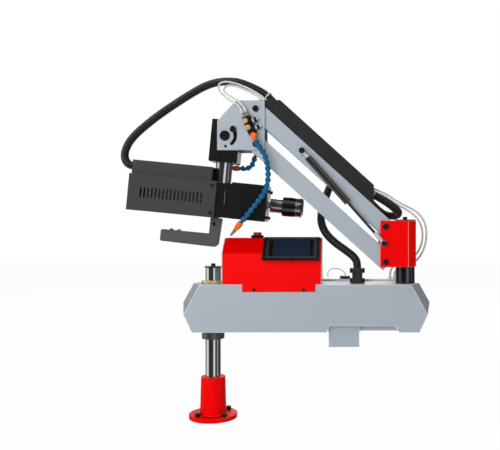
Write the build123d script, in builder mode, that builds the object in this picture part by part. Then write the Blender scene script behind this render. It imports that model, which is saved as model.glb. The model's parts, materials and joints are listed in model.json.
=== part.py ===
"""Arm tapping machine: a swinging beam on a bolted column, a lifting parallel arm on the beam,
and a tilting tapping head.

Millimetres. The origin is the centre of the foot's underside, on the column's axis.
+X runs along the beam, +Z is up.
"""

from math import cos, pi, radians, sin, tan
import os

from build123d import *

os.makedirs("parts", exist_ok=True)

# ---------------------------------------------------------------- driving sizes
RUN_FIT = 0.03  # radial gap of a shaft that turns or slides in its hole
SEAT_GAP = 0.1  # gap between pieces that are screwed or laid together
PIVOT_GAP = 0.3  # gap between faces that move past each other
BOLT_PLAY = 0.5  # radial play of a screw in its clearance hole

# foot and column
FLANGE_D = 139
FLANGE_T = 12
FOOT_H = 119
CONE_BASE_D = 76
CONE_TOP_D = 70
FOOT_FLOOR = 8
BOLT_D = 10
BOLT_WAIST_D = 9  # of the screws' shanks inside the flange
BOLT_CIRCLE_D = 108
BOLT_COUNT = 4
STUD_REACH = 5
COLUMN_D = 45
COLUMN_ABOVE_BEAM = 45.5
CAP_D = 52
CAP_T = 3
COLLAR_D = 65
COLLAR_H = 25

# beam
BEAM_CENTRE_X = 271.3
BEAM_HALF_WIDTH = 60
BEAM_BOTTOM = 254.7
BEAM_H = 135.8
BEAM_WALL = 4
BEAM_APEX_H = 79.3
BEAM_TOP_REACH = 327.7  # from the middle of the beam to the nose of its top face
BEAM_SHOULDER_REACH = 298.7  # to where the nose facets leave the side faces
BEAM_APEX_REACH = 358.7
BEAM_BOTTOM_REACH = 321.7
HUB_TUBE_D = 68
BUSH_WALL = 4.5
BUSH_LENGTH = 40
BUSH_FLANGE_D = 66
BUSH_FLANGE_T = 8
RECESS_LEFT = 330
RECESS_RIGHT = 536
RECESS_H = 18.3
RECESS_SLANT = 10
RECESS_DEPTH = 34
UNDER_BOX_LEFT = 336
UNDER_BOX_RIGHT = 424
UNDER_BOX_FRONT_Y = -40
UNDER_BOX_BACK_Y = 44
UNDER_BOX_DROP = 44.7  # below the beam
UNDER_BOX_WALL = 3

# post and swivel bracket
POST_X = 558.5
POST_D = 56
SPIGOT_D = 35
SOCKET_WALL = 6
BRACKET_ABOVE_BEAM = 48.1
BRACKET_H = 132.4
BRACKET_BEFORE_PIVOT = 15.6
BRACKET_PAST_POST = 29.5
BRACKET_HALF_WIDTH = 45
BRACKET_BEVEL = 24
CHEEK_T = 7
ARM_SLOT_TO_POST = 35  # from the end of the slot for the arms to the post
BEARING_D = 55
BEARING_T = 10
BRACKET_BORE_D = 44
RETAINER_D = 62
RETAINER_T = 3

# parallel arm
ARM_ANGLE = 42.2  # above the horizontal, towards the column
ARM_LENGTH = 500
PIVOT_BEFORE_POST = 59.9
PIVOT_BELOW_TOP = 17.1
PIVOT_SPACING = 100.3
ARM_HALF_WIDTH = 35
ARM_WALL = 4
ARM_END = 16  # past the pivot, as the arms' bevelled ends
ARM_END_BEVEL_START = 7
ARM_END_FLAT = 10
LOWER_END = 12
LOWER_END_FLAT = 14
LOWER_END_BEVEL = 8
LOWER_UNDERSIDE_END = 3
UPPER_ARM_HALF_H = 23
LOWER_ARM_BELOW = 23.5
LOWER_ARM_ABOVE = 26.5
ARM_PIN_D = 12
ARM_BUSH_D = 18
ARM_BUSH_FLANGE_D = 25
ARM_BUSH_LENGTH = 12
PIN_HEAD_D = 17.5
PIN_HEAD_H = 7

# cable cover on the upper arm
COVER_LOW_END = 65
COVER_HIGH_END = 515
COVER_HEIGHT = 43.5
COVER_HALF_WIDTH = 33
COVER_WALL = 1.5

# gas strut
STRUT_Y = -57
STRUT_LOW_BEFORE_PIVOT = 5.5
STRUT_LOW_BELOW_PIVOT = 47.4
STRUT_HIGH_ALONG = 320.66  # along the upper arm
STRUT_HIGH_BELOW = 0.53  # below its middle
STRUT_CYLINDER_D = 20
STRUT_CYLINDER_LENGTH = 172
STRUT_CYLINDER_WALL = 1.5
STRUT_GLAND_T = 12
STRUT_BARREL_END = 30
STRUT_PISTON_T = 10
STRUT_ROD_D = 8
STRUT_EYE_D = 18
STRUT_EYE_T = 10
STRUT_STUD_D = 10
STRUT_SHOULDER_D = 14
STRUT_STUD_HEAD_D = 17
STRUT_HIGH_NECK = 24
STRUT_PISTON_DEPTH = 70
STRUT_OPEN_PLAY = 0.6  # radial play at the eye where the linkage is open

# head bracket, placed from the arms' pivots in it
TILT_BEFORE_PIVOT = 88
TILT_BELOW_PIVOT = 76.36
PLATE_GAP = 76  # between the two plates
PLATE_T = 5
PLATE_BEFORE_TILT = 21.7
PLATE_PAST_PIVOT = 25.8
PLATE_BELOW_TILT = 41.4
PLATE_ABOVE_PIVOT = 24.24
PLATE_BEVEL_X = 53.5
PLATE_BEVEL_Z = 59
CROSS_BAR_T = 18
CROSS_BAR_H = 25
CROSS_BAR_DROP = 9  # below the plates' top edge
TILT_PIN_D = 16
TILT_WASHER_D = 29
TILT_HEAD_D = 24
TILT_HEAD_H = 9
SLOT_RADIUS = 30
SLOT_WIDTH = 10
SLOT_START = 36.5  # angle of the clamp screw above the horizontal
SLOT_SWEEP = 84.5
PLATE_HOLE_ASIDE = 2  # of the small hole under the tilt bolt
CLAMP_SCREW_D = 8
CLAMP_HEAD_D = 18
CLAMP_HEAD_H = 8
CLAMP_SCREW_GRIP = 12  # how far it goes into the tilt block

# tapping head, in its own directions: s along the spindle, t down the shaft
HEAD_TILT = 5.5
BLOCK_HALF = 41
BLOCK_ABOVE = 46
BLOCK_BELOW = 75
SHAFT_D = 50
SHAFT_START = 12
SHAFT_ABOVE_SPINDLE = 25
NECK_BLOCK_LEFT = -30
NECK_BLOCK_RIGHT = 34
NECK_BLOCK_HALF_H = 49.5
NECK_BLOCK_HALF_WIDTH = 47
MOTOR_COVER_LEFT = -258
MOTOR_COVER_RIGHT = -8
MOTOR_COVER_HALF_WIDTH = 52
SHEET_T = 2
VENT_COUNT = 17
VENT_PITCH = 10.8
VENT_FIRST = -221
VENTS_ABOVE_SPINDLE = 1
VENT_WIDTH = 4.5
VENT_LENGTH = 29
CABLE_BOX_LEFT = -255
CABLE_BOX_H = 40
CABLE_EXIT_BELOW_TOP = 16
CABLE_BOX_HALF_WIDTH = 40
MOTOR_SIDE = 86
MOTOR_CORNER = 8
MOTOR_LENGTH = 180
MOTOR_SHAFT_D = 19
SPINDLE_T = 184
COUPLING_BORE_D = 44
SPINDLE_D = 30
SPINDLE_NOSE_D = 20
GEAR_CASE_RIGHT = 138
GEAR_CASE_ABOVE = 54  # the spindle
GEAR_CASE_BELOW = 50
GEAR_CASE_HALF_WIDTH = 50
GEAR_CASE_WALL = 12
CHUCK_OFF_CASE = 7
CHUCK_LENGTH = 93
CHUCK_D = 42
COLLAR_FROM_CHUCK = 35
COLLAR_LENGTH = 60
CHUCK_COLLAR_D = 56
COLLAR_TRAVEL = 5
SOCKET_D = 19
SOCKET_DEPTH = 34
NOSE_DEPTH = 45
COLLAR_GROOVES = 5
GROOVE_FIRST = 8  # from the front face
GROOVE_PITCH = 3
GROOVE_WIDTH = 1.5
GROOVE_DEPTH = 1.2
HANDLE_LEFT = -164
HANDLE_RIGHT = 9
HANDLE_INNER = -24
HANDLE_DROP = 84  # below the motor cover
HANDLE_CORNER = 8
HANDLE_TAPER = 4.5  # of the upright's right edge, from the cover to its foot
GRIP_H = 34
GRIP_RISE = 3  # of its underside towards the free end
GRIP_CORNER = 3
HANDLE_HALF_WIDTH = 12
GRIP_BUTTON_D = 11
GRIP_BUTTON_H = 4
GRIP_BUTTON_TRAVEL = 1.5
GRIP_BUTTONS_AT = (-135, -113)

# mist coolant
VALVE_PAST_TILT = 71.8
VALVE_ABOVE_TILT = 28.6
VALVE_LEAN = 22.4
VALVE_WIDTH = 24
VALVE_LENGTH = 53
VALVE_DEPTH = 20
REAR_VALVE_PAST_TILT = 92.8
REAR_VALVE_ABOVE_TILT = 13.6
FITTING_D = 9
FITTING_LENGTH = 14
FITTING_SPREAD = 5.5
KNOB_D = 15
KNOB_H = 14
KNOB_FLUTES = 12
FLUTE_R = 0.8
KNOB_SLOT = 1.2
KNOBS_ALONG = (-12, 8)
KNOBS_ASIDE = -5
FRONT_HOSE_Y = -72
REAR_HOSE_Y = 60
BEAD_PITCH = 16
BEAD_D = 16.5
NECK_D = 12
HOSE_BORE_D = 7
ELBOW_D = 16
NOZZLE_TIP_D = 5
FRONT_NOZZLE_LENGTH = 46
REAR_NOZZLE_LENGTH = 40

# control box
BOX_LEFT = 36.5
BOX_WIDTH = 278.5
BOX_CREASE_H = 87.5
BOX_RIDGE_Y = -8
BOX_H = 130.5
BOX_SHEET = 2
TAB_IN_LEFT = 55.5
TAB_IN_RIGHT = 16
TAB_DROP = 21
BOX_SCREW_D = 5
BOX_SCREW_IN = 33.7  # from the end of the tab
BOX_SCREW_BELOW = 14.5
PANEL_WIDTH = 162
PANEL_IN = 3  # from the right side of the box
PANEL_CORNER = 3
PANEL_OVERHANG = 31
PANEL_HEIGHT = 97
PANEL_T = 7
PANEL_BODY_DEPTH = 26
PANEL_BODY_WIDTH = 138
PANEL_BODY_HEIGHT = 56
SCREEN_WIDTH = 118
SCREEN_HEIGHT = 72
SCREEN_T = 1.5
BUTTON_OFF_PANEL = 23.5
BUTTON_Y = 20
BUTTON_BASE_D = 37
BUTTON_BASE_H = 8
BUTTON_D = 24
BUTTON_PROUD = 8.4
BUTTON_TRAVEL = 2
BUTTON_BODY_D = 22
BUTTON_BODY_H = 35
DRIVE_SIZE = (60, 95, 54)
DRIVE_AT = (163.5, -2.5)  # middle, from the left end of the box
SUPPLY_SIZE = (95, 100, 48)
SUPPLY_AT = (56, 0)

# coolant tank
TANK_OFF_SCREW = 24.7  # from the right screw of the control box to the tank
TANK_LENGTH = 255
TANK_DEPTH = 50
TANK_H = 96
TANK_ABOVE_BEAM = 5.5
TANK_WALL = 2.5
TANK_CAP_IN = 95
TANK_CORNER = 4
CAP_FLUTES = 16
TANK_CAP_D = 31
TANK_CAP_H = 8
TANK_NECK_D = 24
TANK_NECK_H = 5
TANK_PORTS_IN = (23, 10)  # from its right end
TANK_PORT_D = 10
TANK_PORT_H = 6
TANK_OFF_BEAM = 3.5
SHELF_T = 3
SHELF_LIP = 15

# cables and tubes
CONDUIT_D = 24
TUBE_D = 6
GLAND_X = 419.3
GLAND_D = 44
GLAND_H = 43
GLAND_NUT_H = 14
GLAND_WAIST_D = 30
GLAND_THREAD_D = 25
MAINS_GLAND_X = 200
MAINS_GLAND_H = 45.3  # above the beam's underside
MAINS_GLAND_D = 20

# ---------------------------------------------------------------- worked out from them
BEAM_TOP = BEAM_BOTTOM + BEAM_H
BEAM_APEX_Z = BEAM_BOTTOM + BEAM_APEX_H
RECESS_TOP_Z = BEAM_BOTTOM + RECESS_H
UNDER_BOX_BOTTOM_Z = BEAM_BOTTOM - UNDER_BOX_DROP
COLUMN_TOP = BEAM_TOP + COLUMN_ABOVE_BEAM
BRACKET_BOTTOM = BEAM_TOP + BRACKET_ABOVE_BEAM
BRACKET_TOP = BRACKET_BOTTOM + BRACKET_H
BRACKET_RIGHT = POST_X + BRACKET_PAST_POST
SLOT_DEEP_X = POST_X - ARM_SLOT_TO_POST
UPPER_PIVOT_X = POST_X - PIVOT_BEFORE_POST
UPPER_PIVOT_Z = BRACKET_TOP - PIVOT_BELOW_TOP
LOWER_PIVOT_Z = UPPER_PIVOT_Z - PIVOT_SPACING
BRACKET_LEFT = UPPER_PIVOT_X - BRACKET_BEFORE_PIVOT
ARM_RUN_X = ARM_LENGTH * cos(radians(ARM_ANGLE))
ARM_RISE_Z = ARM_LENGTH * sin(radians(ARM_ANGLE))
HEAD_PIVOT_X = UPPER_PIVOT_X - ARM_RUN_X
HEAD_PIVOT_Z = UPPER_PIVOT_Z + ARM_RISE_Z
TILT_X = HEAD_PIVOT_X - TILT_BEFORE_PIVOT
TILT_Z = HEAD_PIVOT_Z - TILT_BELOW_PIVOT
PLATE_LEFT = TILT_X - PLATE_BEFORE_TILT
PLATE_RIGHT = HEAD_PIVOT_X + PLATE_PAST_PIVOT
PLATE_BOTTOM = TILT_Z - PLATE_BELOW_TILT
PLATE_TOP = HEAD_PIVOT_Z + PLATE_ABOVE_PIVOT
PLATE_BEVEL_END_X = PLATE_LEFT + PLATE_BEVEL_X
PLATE_BEVEL_END_Z = PLATE_TOP - PLATE_BEVEL_Z
SHAFT_END = SPINDLE_T - SHAFT_ABOVE_SPINDLE
NECK_BLOCK_TOP = SPINDLE_T - NECK_BLOCK_HALF_H
NECK_BLOCK_BOTTOM = SPINDLE_T + NECK_BLOCK_HALF_H
MOTOR_COVER_TOP = SPINDLE_T - MOTOR_COVER_HALF_WIDTH
MOTOR_COVER_BOTTOM = SPINDLE_T + MOTOR_COVER_HALF_WIDTH
CABLE_BOX_TOP = MOTOR_COVER_TOP - CABLE_BOX_H
GEAR_CASE_TOP = SPINDLE_T - GEAR_CASE_ABOVE
GEAR_CASE_BOTTOM = SPINDLE_T + GEAR_CASE_BELOW
CHUCK_START = GEAR_CASE_RIGHT + CHUCK_OFF_CASE
CHUCK_END = CHUCK_START + CHUCK_LENGTH
CHUCK_COLLAR_START = CHUCK_START + COLLAR_FROM_CHUCK
CHUCK_COLLAR_END = CHUCK_COLLAR_START + COLLAR_LENGTH
HANDLE_BOTTOM = MOTOR_COVER_BOTTOM + HANDLE_DROP
GRIP_BOTTOM = HANDLE_BOTTOM - GRIP_RISE
GRIP_TOP = GRIP_BOTTOM - GRIP_H
HANDLE_FOOT = HANDLE_RIGHT - HANDLE_TAPER
BOX_RIGHT = BOX_LEFT + BOX_WIDTH
BOX_CREASE_Z = BEAM_TOP + BOX_CREASE_H
BOX_TOP_Z = BEAM_TOP + BOX_H
TAB_LEFT = BOX_LEFT + TAB_IN_LEFT
TAB_RIGHT = BOX_RIGHT - TAB_IN_RIGHT
TAB_BOTTOM_Z = BEAM_TOP - TAB_DROP
BOX_SCREWS_X = (TAB_LEFT + BOX_SCREW_IN, TAB_RIGHT - BOX_SCREW_IN)
BOX_SCREW_Z = BEAM_TOP - BOX_SCREW_BELOW
PANEL_RIGHT = BOX_RIGHT - PANEL_IN
PANEL_LEFT = PANEL_RIGHT - PANEL_WIDTH
BUTTON_X = PANEL_LEFT - BUTTON_OFF_PANEL
TANK_TOP = BEAM_TOP + TANK_ABOVE_BEAM
TANK_BOTTOM = TANK_TOP - TANK_H
TANK_LEFT = BOX_SCREWS_X[1] + TANK_OFF_SCREW
TANK_RIGHT = TANK_LEFT + TANK_LENGTH
TANK_CAP_X = TANK_LEFT + TANK_CAP_IN
TANK_PORTS_X = [TANK_RIGHT - inwards for inwards in TANK_PORTS_IN]
MAINS_GLAND_Z = BEAM_BOTTOM + MAINS_GLAND_H
PLATE_OUT = PLATE_GAP / 2 + PLATE_T
CHEEK_IN = BRACKET_HALF_WIDTH - CHEEK_T
BUSH_FLANGE = CHEEK_IN - ARM_HALF_WIDTH - PIVOT_GAP
BUSH_D = COLUMN_D + 2 * BUSH_WALL
TANK_Y = BEAM_HALF_WIDTH + TANK_OFF_BEAM + TANK_DEPTH / 2
BOX_FRONT_Y = -(BEAM_HALF_WIDTH + SEAT_GAP + BOX_SHEET)
BOX_BACK_Y = BEAM_HALF_WIDTH + SEAT_GAP + BOX_SHEET
CABLE_BOX_RIGHT = -(SHAFT_D / 2 + PIVOT_GAP)

UP_ARM = Plane(
    origin=(UPPER_PIVOT_X, 0, UPPER_PIVOT_Z),
    x_dir=(-cos(radians(ARM_ANGLE)), 0, sin(radians(ARM_ANGLE))),
    z_dir=(0, 1, 0),
)
LOW_ARM = Plane(origin=(UPPER_PIVOT_X, 0, LOWER_PIVOT_Z), x_dir=UP_ARM.x_dir, z_dir=(0, 1, 0))
HEAD = Plane(
    origin=(TILT_X, 0, TILT_Z),
    x_dir=(cos(radians(HEAD_TILT)), 0, -sin(radians(HEAD_TILT))),
    z_dir=(0, -1, 0),
)


def front_view(y):
    """The plane at depth y, seen from the front: its x is X, its y is Z, and it grows towards the viewer."""
    return Plane(origin=(0, y, 0), x_dir=(1, 0, 0), z_dir=(0, -1, 0))


def head_point(s, t, y=0.0):
    """A point of the head in space."""
    return HEAD.from_local_coords(Vector(s, -t, -y))


def head_down(s, t, y=0.0):
    """A plane square to the head's shaft, whose normal points up the shaft."""
    return Plane(origin=head_point(s, t, y), x_dir=HEAD.x_dir, z_dir=HEAD.y_dir)


def head_along(s, t, y=0.0):
    """A plane square to the spindle, whose normal points out of the chuck."""
    return Plane(origin=head_point(s, t, y), x_dir=(0, 1, 0), z_dir=HEAD.x_dir)


def rod(plane, diameter, length, bore=0.0):
    """A round bar, or a tube if it has a bore, standing on a plane."""
    with BuildPart() as bar:
        with BuildSketch(plane):
            Circle(diameter / 2)
            if bore:
                Circle(bore / 2, mode=Mode.SUBTRACT)
        extrude(amount=length)
    return bar.part


def socket_screw(plane, shank_d, shank_length, head_d, head_h):
    """A cap screw whose head stands on the plane, with a hexagon socket, and whose shank goes into it."""
    with BuildPart() as screw:
        with BuildSketch(plane):
            Circle(shank_d / 2)
        extrude(amount=-shank_length)
        with BuildSketch(plane):
            Circle(head_d / 2)
        extrude(amount=head_h)
        head_rim = screw.edges().filter_by(GeomType.CIRCLE).sort_by(Axis(plane.origin, plane.z_dir))[-1]
        chamfer(head_rim, head_h * 0.08)
        with BuildSketch(plane.offset(head_h)):
            RegularPolygon(radius=head_d * 0.29, side_count=6)
        extrude(amount=-head_h * 0.5, mode=Mode.SUBTRACT)
    return screw.part


def arm_pin(x, z, diameter, cheek_out, head_d=PIN_HEAD_D, head_h=PIN_HEAD_H):
    """A pivot pin across two cheeks, with a socket head in front and a nut behind."""
    front = Plane(origin=(x, -cheek_out, z), x_dir=(1, 0, 0), z_dir=(0, -1, 0))
    with BuildPart() as pin:
        with BuildSketch(front):
            Circle(diameter / 2)
        extrude(amount=-2 * cheek_out)
        with BuildSketch(front):
            Circle(head_d / 2)
        extrude(amount=head_h)
        with BuildSketch(front.offset(head_h)):
            RegularPolygon(radius=diameter * 0.36, side_count=6)
        extrude(amount=-head_h * 0.5, mode=Mode.SUBTRACT)
        with BuildSketch(front.offset(-2 * cheek_out)):
            RegularPolygon(radius=head_d * 0.56, side_count=6)
        extrude(amount=-head_h)
    return pin.part


# ---------------------------------------------------------------- foot and column
def foot_screw_planes():
    """The seats of the four foot screws."""
    seats = []
    for index in range(BOLT_COUNT):
        angle = radians(45 + index * 360 / BOLT_COUNT)
        x = BOLT_CIRCLE_D / 2 * cos(angle)
        y = BOLT_CIRCLE_D / 2 * sin(angle)
        seats.append(Plane(origin=(x, y, FLANGE_T + SEAT_GAP), z_dir=(0, 0, 1)))
    return seats


with BuildPart() as base_flange:
    with BuildSketch(Plane.XZ):
        with BuildLine():
            Polyline(
                (0, 0),
                (FLANGE_D / 2, 0),
                (FLANGE_D / 2, FLANGE_T),
                (CONE_BASE_D / 2, FLANGE_T),
                (CONE_TOP_D / 2, FOOT_H),
                (0, FOOT_H),
                close=True,
            )
        make_face()
    revolve(axis=Axis.Z)
    rims = base_flange.edges().filter_by(GeomType.CIRCLE)
    fillet([e for e in rims if e.radius > FLANGE_D / 2 - 1 and e.center().Z > 1], FLANGE_T / 8)
    chamfer([e for e in rims if e.center().Z > FOOT_H - 1], 1)
    with BuildSketch(Plane.XY.offset(FOOT_FLOOR)):
        Circle(COLUMN_D / 2 + RUN_FIT)
    extrude(amount=FOOT_H, mode=Mode.SUBTRACT)
    with Locations((0, 0, FLANGE_T)):
        with PolarLocations(BOLT_CIRCLE_D / 2, BOLT_COUNT, start_angle=45):
            Hole(BOLT_D / 2 + BOLT_PLAY, depth=FLANGE_T + 1)
base_flange.part.label = "base_flange"
export_step(base_flange.part, "parts/base_flange.step")

FOOT_SCREW_LENGTH = FLANGE_T + SEAT_GAP + STUD_REACH
FOOT_SCREWS = [
    socket_screw(seat, BOLT_D, FOOT_SCREW_LENGTH, BOLT_D * 1.6, BOLT_D) for seat in foot_screw_planes()
]
with BuildPart() as base_bolts:
    add(FOOT_SCREWS)
    with BuildSketch(Plane.XY):
        with PolarLocations(BOLT_CIRCLE_D / 2, BOLT_COUNT, start_angle=45):
            Circle(BOLT_D)
            Circle(BOLT_WAIST_D / 2, mode=Mode.SUBTRACT)
    extrude(amount=FLANGE_T + SEAT_GAP, mode=Mode.SUBTRACT)
base_bolts.part.label = "base_bolts"
export_step(base_bolts.part, "parts/base_bolts.step")

CAP_SCREW_D = 8
CAP_SCREW_DEPTH = 20
with BuildPart() as column:
    with BuildSketch(Plane.XY.offset(FOOT_FLOOR)):
        Circle(COLUMN_D / 2)
    extrude(amount=COLUMN_TOP - FOOT_FLOOR)
    chamfer(column.edges().filter_by(GeomType.CIRCLE), 1)
    with BuildSketch(Plane.XY.offset(COLUMN_TOP)):
        Circle(CAP_SCREW_D / 2 + RUN_FIT)
    extrude(amount=-CAP_SCREW_DEPTH - 2, mode=Mode.SUBTRACT)
column.part.label = "column"
export_step(column.part, "parts/column.step")


def end_cap(x, top, disc_d, disc_t):
    """A retaining disc and the screw that holds it on the end of a round bar."""
    disc = rod(Plane(origin=(x, 0, top), z_dir=(0, 0, 1)), disc_d, disc_t, CAP_SCREW_D + 2 * BOLT_PLAY)
    seat = Plane(origin=(x, 0, top + disc_t + SEAT_GAP), z_dir=(0, 0, 1))
    return [disc, socket_screw(seat, CAP_SCREW_D, CAP_SCREW_DEPTH, CAP_SCREW_D * 1.6, CAP_SCREW_D)]


COLUMN_CAP = end_cap(0, COLUMN_TOP, CAP_D, CAP_T)
with BuildPart() as column_cap:
    add(COLUMN_CAP)
column_cap.part.label = "column_cap"
export_step(column_cap.part, "parts/column_cap.step")

COLLAR_TOP = BEAM_BOTTOM - PIVOT_GAP
COLLAR_SCREW_D = 6
COLLAR_MIDDLE = Plane(origin=(0, COLLAR_D / 2, COLLAR_TOP - COLLAR_H / 2), z_dir=(0, 1, 0))
COLLAR_GRUB = rod(COLLAR_MIDDLE.offset(-0.5), COLLAR_SCREW_D, -(COLLAR_D - COLUMN_D) / 2 + 0.6)
with BuildPart() as stop_collar:
    with BuildSketch(Plane.XY.offset(COLLAR_TOP - COLLAR_H)):
        Circle(COLLAR_D / 2)
        Circle(COLUMN_D / 2 + RUN_FIT, mode=Mode.SUBTRACT)
    extrude(amount=COLLAR_H)
    collar_rims = stop_collar.edges().filter_by(GeomType.CIRCLE)
    chamfer([e for e in collar_rims if e.radius > COLUMN_D / 2 + 1], 1)
    with BuildSketch(COLLAR_MIDDLE):
        Circle(COLLAR_SCREW_D / 2 + SEAT_GAP)
    extrude(amount=-COLLAR_D / 2, mode=Mode.SUBTRACT)
    add(COLLAR_GRUB)
stop_collar.part.label = "stop_collar"
export_step(stop_collar.part, "parts/stop_collar.step")


# ---------------------------------------------------------------- beam
def beam_block(inset):
    """The beam's closed form, each face moved in by inset. A quarter is made and mirrored twice."""
    shoulder = Vector(BEAM_CENTRE_X + BEAM_SHOULDER_REACH, -BEAM_HALF_WIDTH, BEAM_TOP)
    nose = Vector(BEAM_CENTRE_X + BEAM_TOP_REACH, 0, BEAM_TOP)
    apex = Vector(BEAM_CENTRE_X + BEAM_APEX_REACH, 0, BEAM_APEX_Z)
    outward = (apex - nose).cross(nose - shoulder)
    facet = Plane(origin=shoulder, x_dir=nose - shoulder, z_dir=outward)
    with BuildPart() as block:
        with BuildSketch(Plane.XZ):
            with BuildLine():
                Polyline(
                    (BEAM_CENTRE_X - BEAM_BOTTOM_REACH, BEAM_BOTTOM),
                    (BEAM_CENTRE_X + BEAM_BOTTOM_REACH, BEAM_BOTTOM),
                    (BEAM_CENTRE_X + BEAM_APEX_REACH, BEAM_APEX_Z),
                    (BEAM_CENTRE_X + BEAM_TOP_REACH, BEAM_TOP),
                    (BEAM_CENTRE_X - BEAM_TOP_REACH, BEAM_TOP),
                    (BEAM_CENTRE_X - BEAM_APEX_REACH, BEAM_APEX_Z),
                    close=True,
                )
            make_face()
            if inset:
                offset(amount=-inset, kind=Kind.INTERSECTION)
        extrude(amount=BEAM_HALF_WIDTH - inset)
        split(bisect_by=Plane.YZ.offset(BEAM_CENTRE_X), keep=Keep.TOP)
        split(bisect_by=facet.offset(-inset), keep=Keep.BOTTOM)
        mirror(about=Plane.XZ)
        mirror(about=Plane.YZ.offset(BEAM_CENTRE_X))
    return block.part


def recess_block(grow):
    """The space pressed into the beam's lower front edge, grown by the wall for its skin."""
    depth = RECESS_DEPTH + grow
    with BuildPart() as block:
        with BuildSketch(front_view(-BEAM_HALF_WIDTH + depth)):
            with BuildLine():
                Polyline(
                    (RECESS_LEFT - grow, BEAM_BOTTOM - 1),
                    (RECESS_RIGHT + grow, BEAM_BOTTOM - 1),
                    (RECESS_RIGHT - RECESS_SLANT + grow, RECESS_TOP_Z + grow),
                    (RECESS_LEFT + RECESS_SLANT - grow, RECESS_TOP_Z + grow),
                    close=True,
                )
            make_face()
        extrude(amount=depth + 1)
    return block.part


BEAM_OUTSIDE = beam_block(0)
BEAM_INSIDE = beam_block(BEAM_WALL)
RECESS = recess_block(0)
RECESS_SKIN = recess_block(BEAM_WALL)

with BuildPart() as recess_walls:
    add(RECESS_SKIN)
    add(BEAM_OUTSIDE, mode=Mode.INTERSECT)


def inwards(faces, wall):
    """Six faces of a block, low and high in turn, each moved in by a wall."""
    return [face + (wall if side % 2 == 0 else -wall) for side, face in enumerate(faces)]


def slab(x_from, x_to, y_from, y_to, z_from, z_to):
    """A plain block between six faces."""
    with BuildPart() as block:
        with BuildSketch(Plane.XY.offset(z_from)):
            with Locations(((x_from + x_to) / 2, (y_from + y_to) / 2)):
                Rectangle(x_to - x_from, y_to - y_from)
        extrude(amount=z_to - z_from)
    return block.part


UNDER_BOX_X = (UNDER_BOX_LEFT, UNDER_BOX_RIGHT)
UNDER_BOX_Y = (UNDER_BOX_FRONT_Y, UNDER_BOX_BACK_Y)
UNDER_BOX = (*UNDER_BOX_X, *UNDER_BOX_Y, UNDER_BOX_BOTTOM_Z, RECESS_TOP_Z)
UNDER_BOX_OUTSIDE = slab(*UNDER_BOX)
UNDER_BOX_INSIDE = slab(*inwards(UNDER_BOX, UNDER_BOX_WALL))
SHELF_OUT_Y = BEAM_HALF_WIDTH + TANK_OFF_BEAM + TANK_DEPTH + SHELF_T + SEAT_GAP
SHELF_TOP = TANK_BOTTOM - SEAT_GAP
SHELF = slab(TANK_LEFT, TANK_RIGHT, BEAM_HALF_WIDTH - 1, SHELF_OUT_Y, SHELF_TOP - SHELF_T, SHELF_TOP)
SHELF_EDGE_Z = (SHELF_TOP - SHELF_T, SHELF_TOP + SHELF_LIP)
SHELF_EDGE = slab(TANK_LEFT, TANK_RIGHT, SHELF_OUT_Y - SHELF_T, SHELF_OUT_Y, *SHELF_EDGE_Z)

with BuildPart() as beam_shell:
    add(BEAM_OUTSIDE)
    add(BEAM_INSIDE, mode=Mode.SUBTRACT)
    add(recess_walls.part)
    with BuildSketch(Plane.XY.offset(BEAM_BOTTOM)):
        Circle(HUB_TUBE_D / 2)
        with Locations((POST_X, 0)):
            Circle(POST_D / 2 + SOCKET_WALL)
    extrude(amount=BEAM_TOP - BEAM_BOTTOM)
    add(RECESS, mode=Mode.SUBTRACT)
    add([UNDER_BOX_OUTSIDE, SHELF, SHELF_EDGE])
    add(UNDER_BOX_INSIDE, mode=Mode.SUBTRACT)
    with BuildSketch(Plane.XY.offset(BEAM_BOTTOM)):
        Circle(BUSH_D / 2 + RUN_FIT)
    extrude(amount=BEAM_TOP - BEAM_BOTTOM, mode=Mode.SUBTRACT)
    with BuildSketch(Plane.XY.offset(BEAM_BOTTOM + BEAM_WALL)):
        with Locations((POST_X, 0)):
            Circle(POST_D / 2 + RUN_FIT)
    extrude(amount=BEAM_TOP, mode=Mode.SUBTRACT)
    with BuildSketch(Plane.XY.offset(BEAM_TOP - BEAM_WALL)):
        with Locations((GLAND_X, 0)):
            Circle(GLAND_THREAD_D / 2 + BOLT_PLAY)
    extrude(amount=BEAM_WALL, mode=Mode.SUBTRACT)
    with BuildSketch(front_view(BEAM_HALF_WIDTH)):
        with Locations([(x, BOX_SCREW_Z) for x in BOX_SCREWS_X]):
            Circle(BOX_SCREW_D / 2 + RUN_FIT)
        with Locations((MAINS_GLAND_X, MAINS_GLAND_Z)):
            Circle(MAINS_GLAND_D / 4)
    extrude(amount=BEAM_WALL, mode=Mode.SUBTRACT)
    with BuildSketch(front_view(-BEAM_HALF_WIDTH + BEAM_WALL)):
        with Locations([(x, BOX_SCREW_Z) for x in BOX_SCREWS_X]):
            Circle(BOX_SCREW_D / 2 + RUN_FIT)
    extrude(amount=BEAM_WALL, mode=Mode.SUBTRACT)
beam_shell.part.label = "beam_shell"
export_step(beam_shell.part, "parts/beam_shell.step")

UPPER_BUSH = rod(Plane.XY.offset(BEAM_TOP - BUSH_LENGTH), BUSH_D, BUSH_LENGTH, COLUMN_D + 2 * RUN_FIT)
BUSH_RIM = rod(Plane.XY.offset(BEAM_TOP + SEAT_GAP), BUSH_FLANGE_D, BUSH_FLANGE_T, COLUMN_D + 2 * RUN_FIT)
BUSH_NECK = rod(Plane.XY.offset(BEAM_TOP - 1), BUSH_D, 1 + SEAT_GAP, COLUMN_D + 2 * RUN_FIT)
LOWER_BUSH = rod(Plane.XY.offset(BEAM_BOTTOM), BUSH_D, BUSH_LENGTH, COLUMN_D + 2 * RUN_FIT)
with BuildPart() as column_bushes:
    add([UPPER_BUSH, BUSH_NECK, BUSH_RIM, LOWER_BUSH])
column_bushes.part.label = "column_bushes"
export_step(column_bushes.part, "parts/column_bushes.step")

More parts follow.
